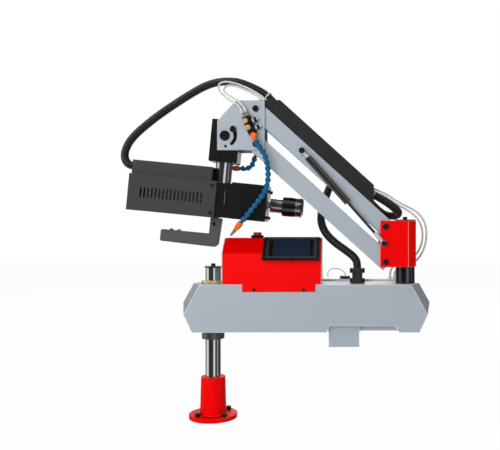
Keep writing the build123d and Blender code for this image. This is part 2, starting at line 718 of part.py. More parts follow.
POST_TOP = BRACKET_TOP + PIVOT_GAP + SEAT_GAP
POST_SHOULDER = BRACKET_BOTTOM - PIVOT_GAP
with BuildPart() as post:
    with BuildSketch(Plane.XY.offset(BEAM_BOTTOM + BEAM_WALL + SEAT_GAP)):
        with Locations((POST_X, 0)):
            Circle(POST_D / 2)
    extrude(amount=POST_SHOULDER - BEAM_BOTTOM - BEAM_WALL - SEAT_GAP)
    chamfer(post.edges().filter_by(GeomType.CIRCLE).sort_by(Axis.Z)[-1], 1)
    with BuildSketch(Plane.XY.offset(POST_SHOULDER)):
        with Locations((POST_X, 0)):
            Circle(SPIGOT_D / 2)
    extrude(amount=POST_TOP - POST_SHOULDER)
    with BuildSketch(Plane.XY.offset(POST_TOP)):
        with Locations((POST_X, 0)):
            Circle(CAP_SCREW_D / 2 + RUN_FIT)
    extrude(amount=-CAP_SCREW_DEPTH - 2, mode=Mode.SUBTRACT)
post.part.label = "post"
export_step(post.part, "parts/post.step")

POST_RETAINER = end_cap(POST_X, POST_TOP + SEAT_GAP, RETAINER_D, RETAINER_T)
with BuildPart() as post_retainer:
    add(POST_RETAINER)
post_retainer.part.label = "post_retainer"
export_step(post_retainer.part, "parts/post_retainer.step")

# ---------------------------------------------------------------- control box
SLOPE = Vector(0, BOX_RIDGE_Y - BOX_FRONT_Y, BOX_TOP_Z - BOX_CREASE_Z).normalized()
SLOPE_OUT = Vector(1, 0, 0).cross(SLOPE)
BOX_FLOOR = BEAM_TOP + SEAT_GAP
PANEL_MIDDLE_X = (PANEL_LEFT + PANEL_RIGHT) / 2
PANEL_FACE = Plane(origin=(PANEL_MIDDLE_X, BOX_FRONT_Y, BOX_CREASE_Z), x_dir=(1, 0, 0), z_dir=SLOPE_OUT)
PANEL_BODY_MIDDLE = (PANEL_HEIGHT - PANEL_OVERHANG) / 2


def mitre(corner, before, after):
    """The inner corner of a folded sheet, from the inward directions of the faces beside it."""
    inward = (before + after) * (BOX_SHEET / (1 + before.dot(after)))
    return corner + inward


FRONT_IN = Vector(0, 1, 0)
SLOPE_IN = SLOPE_OUT * -1
TOP_IN = Vector(0, 0, -1)
CREASE = Vector(0, BOX_FRONT_Y, BOX_CREASE_Z)
RIDGE = Vector(0, BOX_RIDGE_Y, BOX_TOP_Z)
INNER_CREASE = mitre(CREASE, FRONT_IN, SLOPE_IN)
INNER_RIDGE = mitre(RIDGE, SLOPE_IN, TOP_IN)
SHEET_BACK_Y = BOX_BACK_Y - BOX_SHEET - SEAT_GAP

with BuildPart() as control_box:
    with BuildSketch(Plane.YZ.offset(BOX_LEFT)):
        with BuildLine():
            Polyline(
                (BOX_FRONT_Y, BOX_FLOOR),
                (CREASE.Y, CREASE.Z),
                (RIDGE.Y, RIDGE.Z),
                (SHEET_BACK_Y, BOX_TOP_Z),
                (SHEET_BACK_Y, BOX_TOP_Z - BOX_SHEET),
                (INNER_RIDGE.Y, INNER_RIDGE.Z),
                (INNER_CREASE.Y, INNER_CREASE.Z),
                (BOX_FRONT_Y + BOX_SHEET, BOX_FLOOR),
                close=True,
            )
        make_face()
    extrude(amount=BOX_RIGHT - BOX_LEFT)
    with BuildSketch(front_view(BOX_FRONT_Y + BOX_SHEET)):
        with Locations(((TAB_LEFT + TAB_RIGHT) / 2, (TAB_BOTTOM_Z + BOX_FLOOR + 1) / 2)):
            Rectangle(TAB_RIGHT - TAB_LEFT, BOX_FLOOR + 1 - TAB_BOTTOM_Z)
        with Locations([(x, BOX_SCREW_Z) for x in BOX_SCREWS_X]):
            Circle(BOX_SCREW_D / 2 + BOLT_PLAY, mode=Mode.SUBTRACT)
    extrude(amount=BOX_SHEET)
    with BuildSketch(PANEL_FACE.offset(1)):
        with Locations((0, PANEL_BODY_MIDDLE)):
            Rectangle(PANEL_BODY_WIDTH + 2 * BOLT_PLAY, PANEL_BODY_HEIGHT + 2 * BOLT_PLAY)
    extrude(amount=-2 * BOX_SHEET, mode=Mode.SUBTRACT)
    with BuildSketch(Plane.XY.offset(BOX_TOP_Z)):
        with Locations((BUTTON_X, BUTTON_Y)):
            Circle(BUTTON_BODY_D / 2 + BOLT_PLAY)
    extrude(amount=-2 * BOX_SHEET, mode=Mode.SUBTRACT)
control_box.part.label = "control_box"
export_step(control_box.part, "parts/control_box.step")


def box_side(x_from):
    """One flat side of the control box, as large as the folded sheet's outline."""
    with BuildPart() as side:
        with BuildSketch(Plane.YZ.offset(x_from)):
            with BuildLine():
                Polyline(
                    (BOX_FRONT_Y, BOX_FLOOR),
                    (CREASE.Y, CREASE.Z),
                    (RIDGE.Y, RIDGE.Z),
                    (BOX_BACK_Y, BOX_TOP_Z),
                    (BOX_BACK_Y, BOX_FLOOR),
                    close=True,
                )
            make_face()
        extrude(amount=BOX_SHEET)
    return side.part


SHELL_LEFT = BOX_LEFT - SEAT_GAP - BOX_SHEET
SHELL_RIGHT = BOX_RIGHT + SEAT_GAP
BOX_SIDES = [box_side(SHELL_LEFT), box_side(SHELL_RIGHT)]
with BuildPart() as control_box_back:
    add(BOX_SIDES)
    with BuildSketch(front_view(BOX_BACK_Y)):
        with Locations(((SHELL_LEFT + SHELL_RIGHT + BOX_SHEET) / 2, (BOX_FLOOR + BOX_TOP_Z) / 2)):
            Rectangle(SHELL_RIGHT + BOX_SHEET - SHELL_LEFT, BOX_TOP_Z - BOX_FLOOR)
        with Locations(((TAB_LEFT + TAB_RIGHT) / 2, (TAB_BOTTOM_Z + BOX_FLOOR + 1) / 2)):
            Rectangle(TAB_RIGHT - TAB_LEFT, BOX_FLOOR + 1 - TAB_BOTTOM_Z)
        with Locations([(x, BOX_SCREW_Z) for x in BOX_SCREWS_X]):
            Circle(BOX_SCREW_D / 2 + BOLT_PLAY, mode=Mode.SUBTRACT)
    extrude(amount=BOX_SHEET)
control_box_back.part.label = "control_box_back"
export_step(control_box_back.part, "parts/control_box_back.step")

BOX_SCREWS = []
for screw_x in BOX_SCREWS_X:
    for out in (-1, 1):
        seat = Vector(screw_x, out * (BOX_BACK_Y + SEAT_GAP), BOX_SCREW_Z)
        face = Plane(origin=seat, x_dir=(1, 0, 0), z_dir=(0, out, 0))
        screw = socket_screw(face, BOX_SCREW_D, BOX_SHEET + BEAM_WALL, BOX_SCREW_D * 1.8, BOX_SCREW_D * 0.6)
        BOX_SCREWS.append(screw)
with BuildPart() as control_box_screws:
    add(BOX_SCREWS)
control_box_screws.part.label = "control_box_screws"
export_step(control_box_screws.part, "parts/control_box_screws.step")

PANEL_MIDDLE = PANEL_HEIGHT / 2 - PANEL_OVERHANG
with BuildPart() as touch_panel:
    with BuildSketch(PANEL_FACE.offset(SEAT_GAP)):
        with Locations((0, PANEL_MIDDLE)):
            RectangleRounded(PANEL_WIDTH, PANEL_HEIGHT, PANEL_CORNER)
    extrude(amount=PANEL_T)
    chamfer(touch_panel.faces().sort_by(Axis(PANEL_FACE.origin, PANEL_FACE.z_dir))[-1].edges(), 1)
    with BuildSketch(PANEL_FACE.offset(SEAT_GAP)):
        with Locations((0, PANEL_BODY_MIDDLE)):
            Rectangle(PANEL_BODY_WIDTH, PANEL_BODY_HEIGHT)
    extrude(amount=-PANEL_BODY_DEPTH)
    with BuildSketch(PANEL_FACE.offset(SEAT_GAP + PANEL_T)):
        with Locations((0, PANEL_MIDDLE)):
            Rectangle(SCREEN_WIDTH + 2 * SEAT_GAP, SCREEN_HEIGHT + 2 * SEAT_GAP)
    extrude(amount=-SCREEN_T - SEAT_GAP, mode=Mode.SUBTRACT)
touch_panel.part.label = "touch_panel"
export_step(touch_panel.part, "parts/touch_panel.step")

with BuildPart() as touch_screen:
    with BuildSketch(PANEL_FACE.offset(SEAT_GAP + PANEL_T - SCREEN_T)):
        with Locations((0, PANEL_MIDDLE)):
            Rectangle(SCREEN_WIDTH, SCREEN_HEIGHT)
    extrude(amount=SCREEN_T - SEAT_GAP)
touch_screen.part.label = "touch_screen"
export_step(touch_screen.part, "parts/touch_screen.step")

with BuildPart() as drive_units:
    for (middle_x, middle_y), (width, depth, height) in ((DRIVE_AT, DRIVE_SIZE), (SUPPLY_AT, SUPPLY_SIZE)):
        with BuildSketch(Plane.XY.offset(BOX_FLOOR)):
            with Locations((BOX_LEFT + middle_x, middle_y)):
                Rectangle(width, depth)
        extrude(amount=height)
drive_units.part.label = "drive_units"
export_step(drive_units.part, "parts/drive_units.step")

BUTTON_SEAT = Plane(origin=(BUTTON_X, BUTTON_Y, BOX_TOP_Z + SEAT_GAP), z_dir=(0, 0, 1))
BUTTON_FLOOR = 1
with BuildPart() as button_base:
    with BuildSketch(BUTTON_SEAT):
        Circle(BUTTON_BASE_D / 2)
    extrude(amount=BUTTON_BASE_H)
    chamfer(button_base.edges().filter_by(GeomType.CIRCLE).sort_by(Axis.Z)[-1], 1.5)
    with BuildSketch(BUTTON_SEAT):
        Circle(BUTTON_BODY_D / 2)
    extrude(amount=-BUTTON_BODY_H)
    with BuildSketch(BUTTON_SEAT.offset(BUTTON_FLOOR)):
        Circle(BUTTON_D / 2 + SEAT_GAP)
    extrude(amount=BUTTON_BASE_H, mode=Mode.SUBTRACT)
button_base.part.label = "button_base"
export_step(button_base.part, "parts/button_base.step")

with BuildPart() as start_button:
    with BuildSketch(BUTTON_SEAT.offset(BUTTON_BASE_H + BUTTON_PROUD)):
        Circle(BUTTON_D / 2)
    extrude(amount=-(BUTTON_BASE_H + BUTTON_PROUD - BUTTON_FLOOR - BUTTON_TRAVEL - PIVOT_GAP))
    fillet(start_button.edges().filter_by(GeomType.CIRCLE).sort_by(Axis.Z)[-1], 1.5)
start_button.part.label = "start_button"
export_step(start_button.part, "parts/start_button.step")

# ---------------------------------------------------------------- coolant tank behind the beam
TANK_FRONT_Y = TANK_Y - TANK_DEPTH / 2
TANK_BACK_Y = TANK_Y + TANK_DEPTH / 2
TANK = (TANK_LEFT, TANK_RIGHT, TANK_FRONT_Y, TANK_BACK_Y, TANK_BOTTOM, TANK_TOP)
TANK_OUTSIDE = slab(*TANK)
TANK_INSIDE = slab(*inwards(TANK, TANK_WALL))
with BuildPart() as coolant_tank:
    add(TANK_OUTSIDE)
    fillet(coolant_tank.edges().filter_by(Axis.Z), TANK_CORNER)
    with BuildSketch(Plane.XY.offset(TANK_TOP)):
        with Locations((TANK_CAP_X, TANK_Y)):
            Circle(TANK_NECK_D / 2)
    extrude(amount=TANK_NECK_H)
    with BuildSketch(Plane.XY.offset(TANK_TOP)):
        with Locations([(x, TANK_Y) for x in TANK_PORTS_X]):
            Circle(TANK_PORT_D / 2)
    extrude(amount=TANK_PORT_H)
    add(TANK_INSIDE, mode=Mode.SUBTRACT)
    with BuildSketch(Plane.XY.offset(TANK_TOP + TANK_NECK_H)):
        with Locations((TANK_CAP_X, TANK_Y)):
            Circle(TANK_NECK_D / 2 - TANK_WALL)
    extrude(amount=-TANK_NECK_H - TANK_WALL, mode=Mode.SUBTRACT)
coolant_tank.part.label = "coolant_tank"
export_step(coolant_tank.part, "parts/coolant_tank.step")

with BuildPart() as tank_cap:
    with BuildSketch(Plane.XY.offset(TANK_TOP + PIVOT_GAP)):
        with Locations((TANK_CAP_X, TANK_Y)):
            Circle(TANK_CAP_D / 2)
    extrude(amount=TANK_CAP_H)
    chamfer(tank_cap.edges().filter_by(GeomType.CIRCLE).sort_by(Axis.Z)[-1], 1)
    with BuildSketch(Plane.XY.offset(TANK_TOP + PIVOT_GAP)):
        with Locations((TANK_CAP_X, TANK_Y)):
            Circle(TANK_NECK_D / 2 + SEAT_GAP)
    extrude(amount=TANK_NECK_H, mode=Mode.SUBTRACT)
    with BuildSketch(Plane.XY.offset(TANK_TOP + PIVOT_GAP)):
        with Locations((TANK_CAP_X, TANK_Y)):
            with PolarLocations(TANK_CAP_D / 2, CAP_FLUTES):
                Circle(FLUTE_R)
    extrude(amount=TANK_CAP_H - 1, mode=Mode.SUBTRACT)
tank_cap.part.label = "tank_cap"
export_step(tank_cap.part, "parts/tank_cap.step")


# ---------------------------------------------------------------- cable glands on the beam
def hexagon(plane, corners, height):
    """A hexagon nut standing on a plane."""
    with BuildPart() as nut:
        with BuildSketch(plane):
            RegularPolygon(radius=corners / 2, side_count=6)
        extrude(amount=height)
    return nut.part


GLAND_SEAT = Plane(origin=(GLAND_X, 0, BEAM_TOP + SEAT_GAP), z_dir=(0, 0, 1))
MAINS_SEAT = Plane(origin=(MAINS_GLAND_X, BEAM_HALF_WIDTH + SEAT_GAP, MAINS_GLAND_Z), z_dir=(0, 1, 0))
GLAND_PIECES = [
    hexagon(GLAND_SEAT, GLAND_D, GLAND_NUT_H),
    rod(GLAND_SEAT.offset(-BEAM_WALL - GLAND_NUT_H), GLAND_THREAD_D, BEAM_WALL + GLAND_NUT_H + 1),
    rod(GLAND_SEAT.offset(GLAND_NUT_H - 1), GLAND_WAIST_D, GLAND_H - 2 * GLAND_NUT_H + 2),
    hexagon(GLAND_SEAT.offset(GLAND_H - GLAND_NUT_H), GLAND_D, GLAND_NUT_H),
]
MAINS_PIECES = [
    hexagon(MAINS_SEAT, MAINS_GLAND_D, MAINS_GLAND_D / 4),
    rod(MAINS_SEAT.offset(-BEAM_WALL), MAINS_GLAND_D / 2 - 2 * RUN_FIT, MAINS_GLAND_D),
]
with BuildPart() as cable_glands:
    add(GLAND_PIECES)
    with BuildSketch(GLAND_SEAT.offset(GLAND_H)):
        Circle(CONDUIT_D / 2 - 2)
    extrude(amount=-2 * GLAND_H, mode=Mode.SUBTRACT)
    add(MAINS_PIECES)
cable_glands.part.label = "cable_glands"
export_step(cable_glands.part, "parts/cable_glands.step")

# ---------------------------------------------------------------- swivel bracket
BRACKET_PINS_AT = ((UPPER_PIVOT_X, UPPER_PIVOT_Z), (UPPER_PIVOT_X, LOWER_PIVOT_Z))
with BuildPart() as swivel_bracket:
    with BuildSketch(Plane.XY.offset(BRACKET_BOTTOM)):
        with BuildLine():
            Polyline(
                (BRACKET_LEFT, -BRACKET_HALF_WIDTH),
                (BRACKET_RIGHT - BRACKET_BEVEL, -BRACKET_HALF_WIDTH),
                (BRACKET_RIGHT, -BRACKET_HALF_WIDTH + BRACKET_BEVEL),
                (BRACKET_RIGHT, BRACKET_HALF_WIDTH - BRACKET_BEVEL),
                (BRACKET_RIGHT - BRACKET_BEVEL, BRACKET_HALF_WIDTH),
                (BRACKET_LEFT, BRACKET_HALF_WIDTH),
                (BRACKET_LEFT, CHEEK_IN),
                (SLOT_DEEP_X, CHEEK_IN),
                (SLOT_DEEP_X, -CHEEK_IN),
                (BRACKET_LEFT, -CHEEK_IN),
                close=True,
            )
        make_face()
    extrude(amount=BRACKET_TOP - BRACKET_BOTTOM)
    with BuildSketch(Plane.XY.offset(BRACKET_BOTTOM)):
        with Locations((POST_X, 0)):
            Circle(BRACKET_BORE_D / 2)
    extrude(amount=BRACKET_TOP, mode=Mode.SUBTRACT)
    for seat_z in (BRACKET_BOTTOM, BRACKET_TOP - BEARING_T):
        with BuildSketch(Plane.XY.offset(seat_z)):
            with Locations((POST_X, 0)):
                Circle(BEARING_D / 2 + RUN_FIT)
        extrude(amount=BEARING_T, mode=Mode.SUBTRACT)
    with BuildSketch(front_view(BRACKET_HALF_WIDTH)):
        with Locations(BRACKET_PINS_AT):
            Circle(ARM_PIN_D / 2 + RUN_FIT)
    extrude(amount=2 * BRACKET_HALF_WIDTH, mode=Mode.SUBTRACT)
swivel_bracket.part.label = "swivel_bracket"
export_step(swivel_bracket.part, "parts/swivel_bracket.step")


def ball_bearing(plane, outside, inside, thickness):
    """A closed ball bearing lying on a plane, as two rings and the seal that joins them."""
    ring = (outside - inside) / 2 * 0.28
    with BuildPart() as bearing:
        with BuildSketch(plane):
            Circle(outside / 2)
            Circle(inside / 2, mode=Mode.SUBTRACT)
        extrude(amount=thickness)
        for face, way in ((plane, 1), (plane.offset(thickness), -1)):
            with BuildSketch(face):
                Circle(outside / 2 - ring)
                Circle(inside / 2 + ring, mode=Mode.SUBTRACT)
            extrude(amount=way * thickness * 0.08, mode=Mode.SUBTRACT)
    return bearing.part


POST_BEARINGS = [
    ball_bearing(
        Plane(origin=(POST_X, 0, seat_z), z_dir=(0, 0, 1)), BEARING_D, SPIGOT_D + 2 * RUN_FIT, BEARING_T
    )
    for seat_z in (BRACKET_BOTTOM, BRACKET_TOP - BEARING_T)
]
with BuildPart() as post_bearings:
    add(POST_BEARINGS)
post_bearings.part.label = "post_bearings"
export_step(post_bearings.part, "parts/post_bearings.step")


def strut_stud(x, z, from_y):
    """A shouldered stud for one eye of the gas strut, with a domed head in front."""
    face = Plane(origin=(x, from_y, z), x_dir=(1, 0, 0), z_dir=(0, -1, 0))
    shoulder = from_y - (STRUT_Y + STRUT_EYE_T / 2) - PIVOT_GAP
    with BuildPart() as stud:
        with BuildSketch(face):
            Circle(STRUT_SHOULDER_D / 2)
        extrude(amount=shoulder)
        with BuildSketch(face):
            Circle(STRUT_STUD_D / 2)
        extrude(amount=shoulder + STRUT_EYE_T + 2 * PIVOT_GAP)
        with BuildSketch(face.offset(shoulder + STRUT_EYE_T + 2 * PIVOT_GAP)):
            Circle(STRUT_STUD_HEAD_D / 2)
        extrude(amount=STRUT_STUD_HEAD_D / 3)
        chamfer(stud.faces().sort_by(Axis.Y)[0].edges(), 1.5)
    return stud.part


STRUT_LOW = Vector(UPPER_PIVOT_X - STRUT_LOW_BEFORE_PIVOT, STRUT_Y, UPPER_PIVOT_Z - STRUT_LOW_BELOW_PIVOT)
BRACKET_FRONT_PIECES = [arm_pin(x, z, ARM_PIN_D, BRACKET_HALF_WIDTH + SEAT_GAP) for x, z in BRACKET_PINS_AT]
BRACKET_FRONT_PIECES.append(strut_stud(STRUT_LOW.X, STRUT_LOW.Z, -BRACKET_HALF_WIDTH - SEAT_GAP))
with BuildPart() as bracket_pins:
    add(BRACKET_FRONT_PIECES)
bracket_pins.part.label = "bracket_pins"
export_step(bracket_pins.part, "parts/bracket_pins.step")

# ---------------------------------------------------------------- parallel arm
with BuildPart() as upper_arm:
    with BuildSketch(UP_ARM.offset(-ARM_HALF_WIDTH)):
        with BuildLine():
            Polyline(
                (0, UPPER_ARM_HALF_H),
                (ARM_LENGTH + ARM_END_BEVEL_START, UPPER_ARM_HALF_H),
                (ARM_LENGTH + ARM_END, ARM_END_FLAT),
                (ARM_LENGTH + ARM_END, -ARM_END_FLAT),
                (ARM_LENGTH + ARM_END_BEVEL_START, -UPPER_ARM_HALF_H),
                (0, -UPPER_ARM_HALF_H),
            )
            ThreePointArc((0, -UPPER_ARM_HALF_H), (-UPPER_ARM_HALF_H, 0), (0, UPPER_ARM_HALF_H))
        make_face()
    extrude(amount=2 * ARM_HALF_WIDTH)
    with BuildSketch(UP_ARM.offset(-ARM_HALF_WIDTH + ARM_WALL)):
        with Locations((ARM_LENGTH / 2, 0)):
            Rectangle(ARM_LENGTH * 1.2, 2 * (UPPER_ARM_HALF_H - ARM_WALL))
    extrude(amount=2 * (ARM_HALF_WIDTH - ARM_WALL), mode=Mode.SUBTRACT)
    with BuildSketch(UP_ARM.offset(-ARM_HALF_WIDTH)):
        with Locations((0, 0), (ARM_LENGTH, 0)):
            Circle(ARM_BUSH_D / 2 + RUN_FIT)
    extrude(amount=2 * ARM_HALF_WIDTH, mode=Mode.SUBTRACT)
upper_arm.part.label = "upper_arm"
export_step(upper_arm.part, "parts/upper_arm.step")

with BuildPart() as lower_arm:
    with BuildSketch(LOW_ARM.offset(-ARM_HALF_WIDTH)):
        with BuildLine():
            Polyline(
                (-LOWER_END, -LOWER_ARM_BELOW),
                (-LOWER_END, LOWER_END_FLAT),
                (-LOWER_END + LOWER_END_BEVEL, LOWER_ARM_ABOVE),
                (ARM_LENGTH, LOWER_ARM_ABOVE),
                (ARM_LENGTH + LOWER_END, LOWER_END_FLAT),
                (ARM_LENGTH + ARM_END, 0),
                (ARM_LENGTH + LOWER_END, -LOWER_END_FLAT),
                (ARM_LENGTH + LOWER_UNDERSIDE_END, -LOWER_ARM_BELOW),
                close=True,
            )
        make_face()
    extrude(amount=2 * ARM_HALF_WIDTH)
    with BuildSketch(LOW_ARM.offset(-ARM_HALF_WIDTH + ARM_WALL)):
        with Locations((ARM_LENGTH / 2, LOWER_ARM_ABOVE - ARM_WALL - LOWER_ARM_BELOW)):
            Rectangle(ARM_LENGTH * 1.2, 2 * LOWER_ARM_BELOW)
    extrude(amount=2 * (ARM_HALF_WIDTH - ARM_WALL), mode=Mode.SUBTRACT)
    with BuildSketch(LOW_ARM.offset(-ARM_HALF_WIDTH)):
        with Locations((0, 0), (ARM_LENGTH, 0)):
            Circle(ARM_BUSH_D / 2 + RUN_FIT)
    extrude(amount=2 * ARM_HALF_WIDTH, mode=Mode.SUBTRACT)
lower_arm.part.label = "lower_arm"
export_step(lower_arm.part, "parts/lower_arm.step")


def arm_bushes(arm):
    """The four flanged bushes of one arm."""
    bushes = []
    for along in (0, ARM_LENGTH):
        for side in (-1, 1):
            centre = arm.from_local_coords(Vector(along, 0, side * ARM_HALF_WIDTH))
            outwards = Plane(origin=centre, x_dir=(1, 0, 0), z_dir=(0, side, 0))
            face = outwards.offset(SEAT_GAP)
            bore = ARM_PIN_D + 2 * RUN_FIT
            sleeve = rod(face, ARM_BUSH_D, -ARM_BUSH_LENGTH, bore)
            flange = rod(face, ARM_BUSH_FLANGE_D, BUSH_FLANGE - SEAT_GAP, bore)
            bushes.extend([sleeve, flange])
    return bushes


UPPER_BUSHES = arm_bushes(UP_ARM)
with BuildPart() as upper_arm_bushes:
    add(UPPER_BUSHES)
upper_arm_bushes.part.label = "upper_arm_bushes"
export_step(upper_arm_bushes.part, "parts/upper_arm_bushes.step")

LOWER_BUSHES = arm_bushes(LOW_ARM)
with BuildPart() as lower_arm_bushes:
    add(LOWER_BUSHES)
lower_arm_bushes.part.label = "lower_arm_bushes"
export_step(lower_arm_bushes.part, "parts/lower_arm_bushes.step")

COVER_SEAT = UPPER_ARM_HALF_H + SEAT_GAP
COVER_TOP = COVER_SEAT + COVER_HEIGHT
with BuildPart() as cable_cover:
    with BuildSketch(UP_ARM.offset(-COVER_HALF_WIDTH)):
        with BuildLine():
            Polyline(
                (COVER_LOW_END, COVER_SEAT),
                (COVER_LOW_END + COVER_HEIGHT * tan(radians(ARM_ANGLE)), COVER_TOP),
                (COVER_HIGH_END - COVER_HEIGHT / tan(radians(ARM_ANGLE)), COVER_TOP),
                (COVER_HIGH_END, COVER_SEAT),
                close=True,
            )
        make_face()
    extrude(amount=2 * COVER_HALF_WIDTH)
    with BuildSketch(UP_ARM.offset(-COVER_HALF_WIDTH + COVER_WALL)):
        with Locations((ARM_LENGTH / 2, COVER_TOP - COVER_WALL - COVER_HEIGHT)):
            Rectangle(ARM_LENGTH * 1.2, 2 * COVER_HEIGHT)
    extrude(amount=2 * (COVER_HALF_WIDTH - COVER_WALL), mode=Mode.SUBTRACT)
cable_cover.part.label = "cable_cover"
export_step(cable_cover.part, "parts/cable_cover.step")

STRUT_HIGH = UP_ARM.from_local_coords(Vector(STRUT_HIGH_ALONG, -STRUT_HIGH_BELOW, STRUT_Y))
STRUT_HIGH_STUD = strut_stud(STRUT_HIGH.X, STRUT_HIGH.Z, -ARM_HALF_WIDTH - SEAT_GAP)
with BuildPart() as strut_upper_stud:
    add(STRUT_HIGH_STUD)
strut_upper_stud.part.label = "strut_upper_stud"
export_step(strut_upper_stud.part, "parts/strut_upper_stud.step")

# ---------------------------------------------------------------- gas strut
STRUT_LENGTH = (STRUT_HIGH - STRUT_LOW).length
STRUT = Plane(origin=STRUT_LOW, x_dir=(0, 1, 0), z_dir=STRUT_HIGH - STRUT_LOW)
CYLINDER_HIGH = STRUT_LENGTH - STRUT_HIGH_NECK
CYLINDER_LOW = CYLINDER_HIGH - STRUT_CYLINDER_LENGTH
STRUT_BORE_D = STRUT_CYLINDER_D - 2 * STRUT_CYLINDER_WALL
PISTON_AT = CYLINDER_LOW + STRUT_PISTON_DEPTH


def strut_eye(centre, towards, hole):
    """The eye at one end of the strut, with the neck that joins it to the bar."""
    flat = Plane(origin=centre + Vector(0, STRUT_EYE_T / 2, 0), x_dir=(1, 0, 0), z_dir=(0, -1, 0))
    neck = Plane(origin=centre, x_dir=(0, 1, 0), z_dir=towards)
    with BuildPart() as eye:
        with BuildSketch(flat):
            Circle(STRUT_EYE_D / 2)
        extrude(amount=STRUT_EYE_T)
        with BuildSketch(neck):
            Circle(STRUT_EYE_T / 2 - 0.4)
        extrude(amount=STRUT_HIGH_NECK)
        with BuildSketch(flat):
            Circle(hole / 2)
        extrude(amount=STRUT_EYE_T, mode=Mode.SUBTRACT)
    return eye.part


LOW_EYE = strut_eye(STRUT_LOW, STRUT.z_dir, STRUT_STUD_D + 2 * RUN_FIT)
HIGH_EYE = strut_eye(STRUT_HIGH, STRUT.z_dir * -1, STRUT_STUD_D + 2 * STRUT_OPEN_PLAY)
with BuildPart() as strut_rod:
    add(LOW_EYE)
    with BuildSketch(STRUT.offset(STRUT_EYE_D / 2 + 2)):
        Circle(STRUT_EYE_T / 2 + 1)
    extrude(amount=STRUT_BARREL_END)
    with BuildSketch(STRUT.offset(STRUT_BARREL_END)):
        Circle(STRUT_ROD_D / 2)
    extrude(amount=PISTON_AT - STRUT_BARREL_END)
    with BuildSketch(STRUT.offset(PISTON_AT)):
        Circle(STRUT_BORE_D / 2 - RUN_FIT)
    extrude(amount=-STRUT_PISTON_T)
strut_rod.part.label = "strut_rod"
export_step(strut_rod.part, "parts/strut_rod.step")

with BuildPart() as strut_cylinder:
    with BuildSketch(STRUT.offset(CYLINDER_LOW)):
        Circle(STRUT_CYLINDER_D / 2)
    extrude(amount=STRUT_CYLINDER_LENGTH)
    chamfer(strut_cylinder.edges().filter_by(GeomType.CIRCLE), STRUT_CYLINDER_WALL * 0.6)
    add(HIGH_EYE)
    with BuildSketch(STRUT.offset(CYLINDER_LOW + STRUT_GLAND_T)):
        Circle(STRUT_BORE_D / 2)
    extrude(amount=STRUT_CYLINDER_LENGTH - 2 * STRUT_GLAND_T, mode=Mode.SUBTRACT)
    with BuildSketch(STRUT.offset(CYLINDER_LOW)):
        Circle(STRUT_ROD_D / 2 + RUN_FIT)
    extrude(amount=STRUT_GLAND_T + 1, mode=Mode.SUBTRACT)
strut_cylinder.part.label = "strut_cylinder"
export_step(strut_cylinder.part, "parts/strut_cylinder.step")

# ---------------------------------------------------------------- head bracket
HEAD_PIVOTS = ((HEAD_PIVOT_X, HEAD_PIVOT_Z), (HEAD_PIVOT_X, HEAD_PIVOT_Z - PIVOT_SPACING))


SLOT_FROM = SLOT_START - SLOT_SWEEP


def head_plate(y_front):
    """One side plate, with its pin holes and the curved slot for the clamp screw."""
    with BuildPart() as plate:
        with BuildSketch(front_view(y_front + PLATE_T)):
            with BuildLine():
                Polyline(
                    (PLATE_LEFT, PLATE_BOTTOM),
                    (PLATE_RIGHT, PLATE_BOTTOM),
                    (PLATE_RIGHT, PLATE_TOP),
                    (PLATE_BEVEL_END_X, PLATE_TOP),
                    (PLATE_LEFT, PLATE_BEVEL_END_Z),
                    close=True,
                )
            make_face()
            with Locations(HEAD_PIVOTS):
                Circle(ARM_PIN_D / 2 + RUN_FIT, mode=Mode.SUBTRACT)
            with Locations((TILT_X, TILT_Z)):
                Circle(TILT_PIN_D / 2 + RUN_FIT, mode=Mode.SUBTRACT)
                with PolarLocations(SLOT_RADIUS, 2, SLOT_FROM, SLOT_SWEEP, endpoint=True):
                    Circle(SLOT_WIDTH / 2, mode=Mode.SUBTRACT)
            with Locations((TILT_X + PLATE_HOLE_ASIDE, TILT_Z - SLOT_RADIUS)):
                Circle(CLAMP_SCREW_D / 2, mode=Mode.SUBTRACT)
            with BuildLine():
                outer = CenterArc((TILT_X, TILT_Z), SLOT_RADIUS + SLOT_WIDTH / 2, SLOT_FROM, SLOT_SWEEP)
                inner = CenterArc((TILT_X, TILT_Z), SLOT_RADIUS - SLOT_WIDTH / 2, SLOT_FROM, SLOT_SWEEP)
                Line(outer @ 0, inner @ 0)
                Line(outer @ 1, inner @ 1)
            make_face(mode=Mode.SUBTRACT)
        extrude(amount=PLATE_T)
    return plate.part


HEAD_PLATES = [head_plate(-PLATE_OUT), head_plate(PLATE_GAP / 2)]
with BuildPart() as head_plates:
    add(HEAD_PLATES)
head_plates.part.label = "head_plates"
export_step(head_plates.part, "parts/head_plates.step")

CROSS_BAR_Y = PLATE_GAP / 2 - SEAT_GAP
CROSS_BAR_TOP = PLATE_TOP - CROSS_BAR_DROP
CROSS_BAR_X = (PLATE_BEVEL_END_X, PLATE_BEVEL_END_X + CROSS_BAR_T)
CROSS_BAR = slab(*CROSS_BAR_X, -CROSS_BAR_Y, CROSS_BAR_Y, CROSS_BAR_TOP - CROSS_BAR_H, CROSS_BAR_TOP)
with BuildPart() as head_cross_bar:
    add(CROSS_BAR)
head_cross_bar.part.label = "head_cross_bar"
export_step(head_cross_bar.part, "parts/head_cross_bar.step")

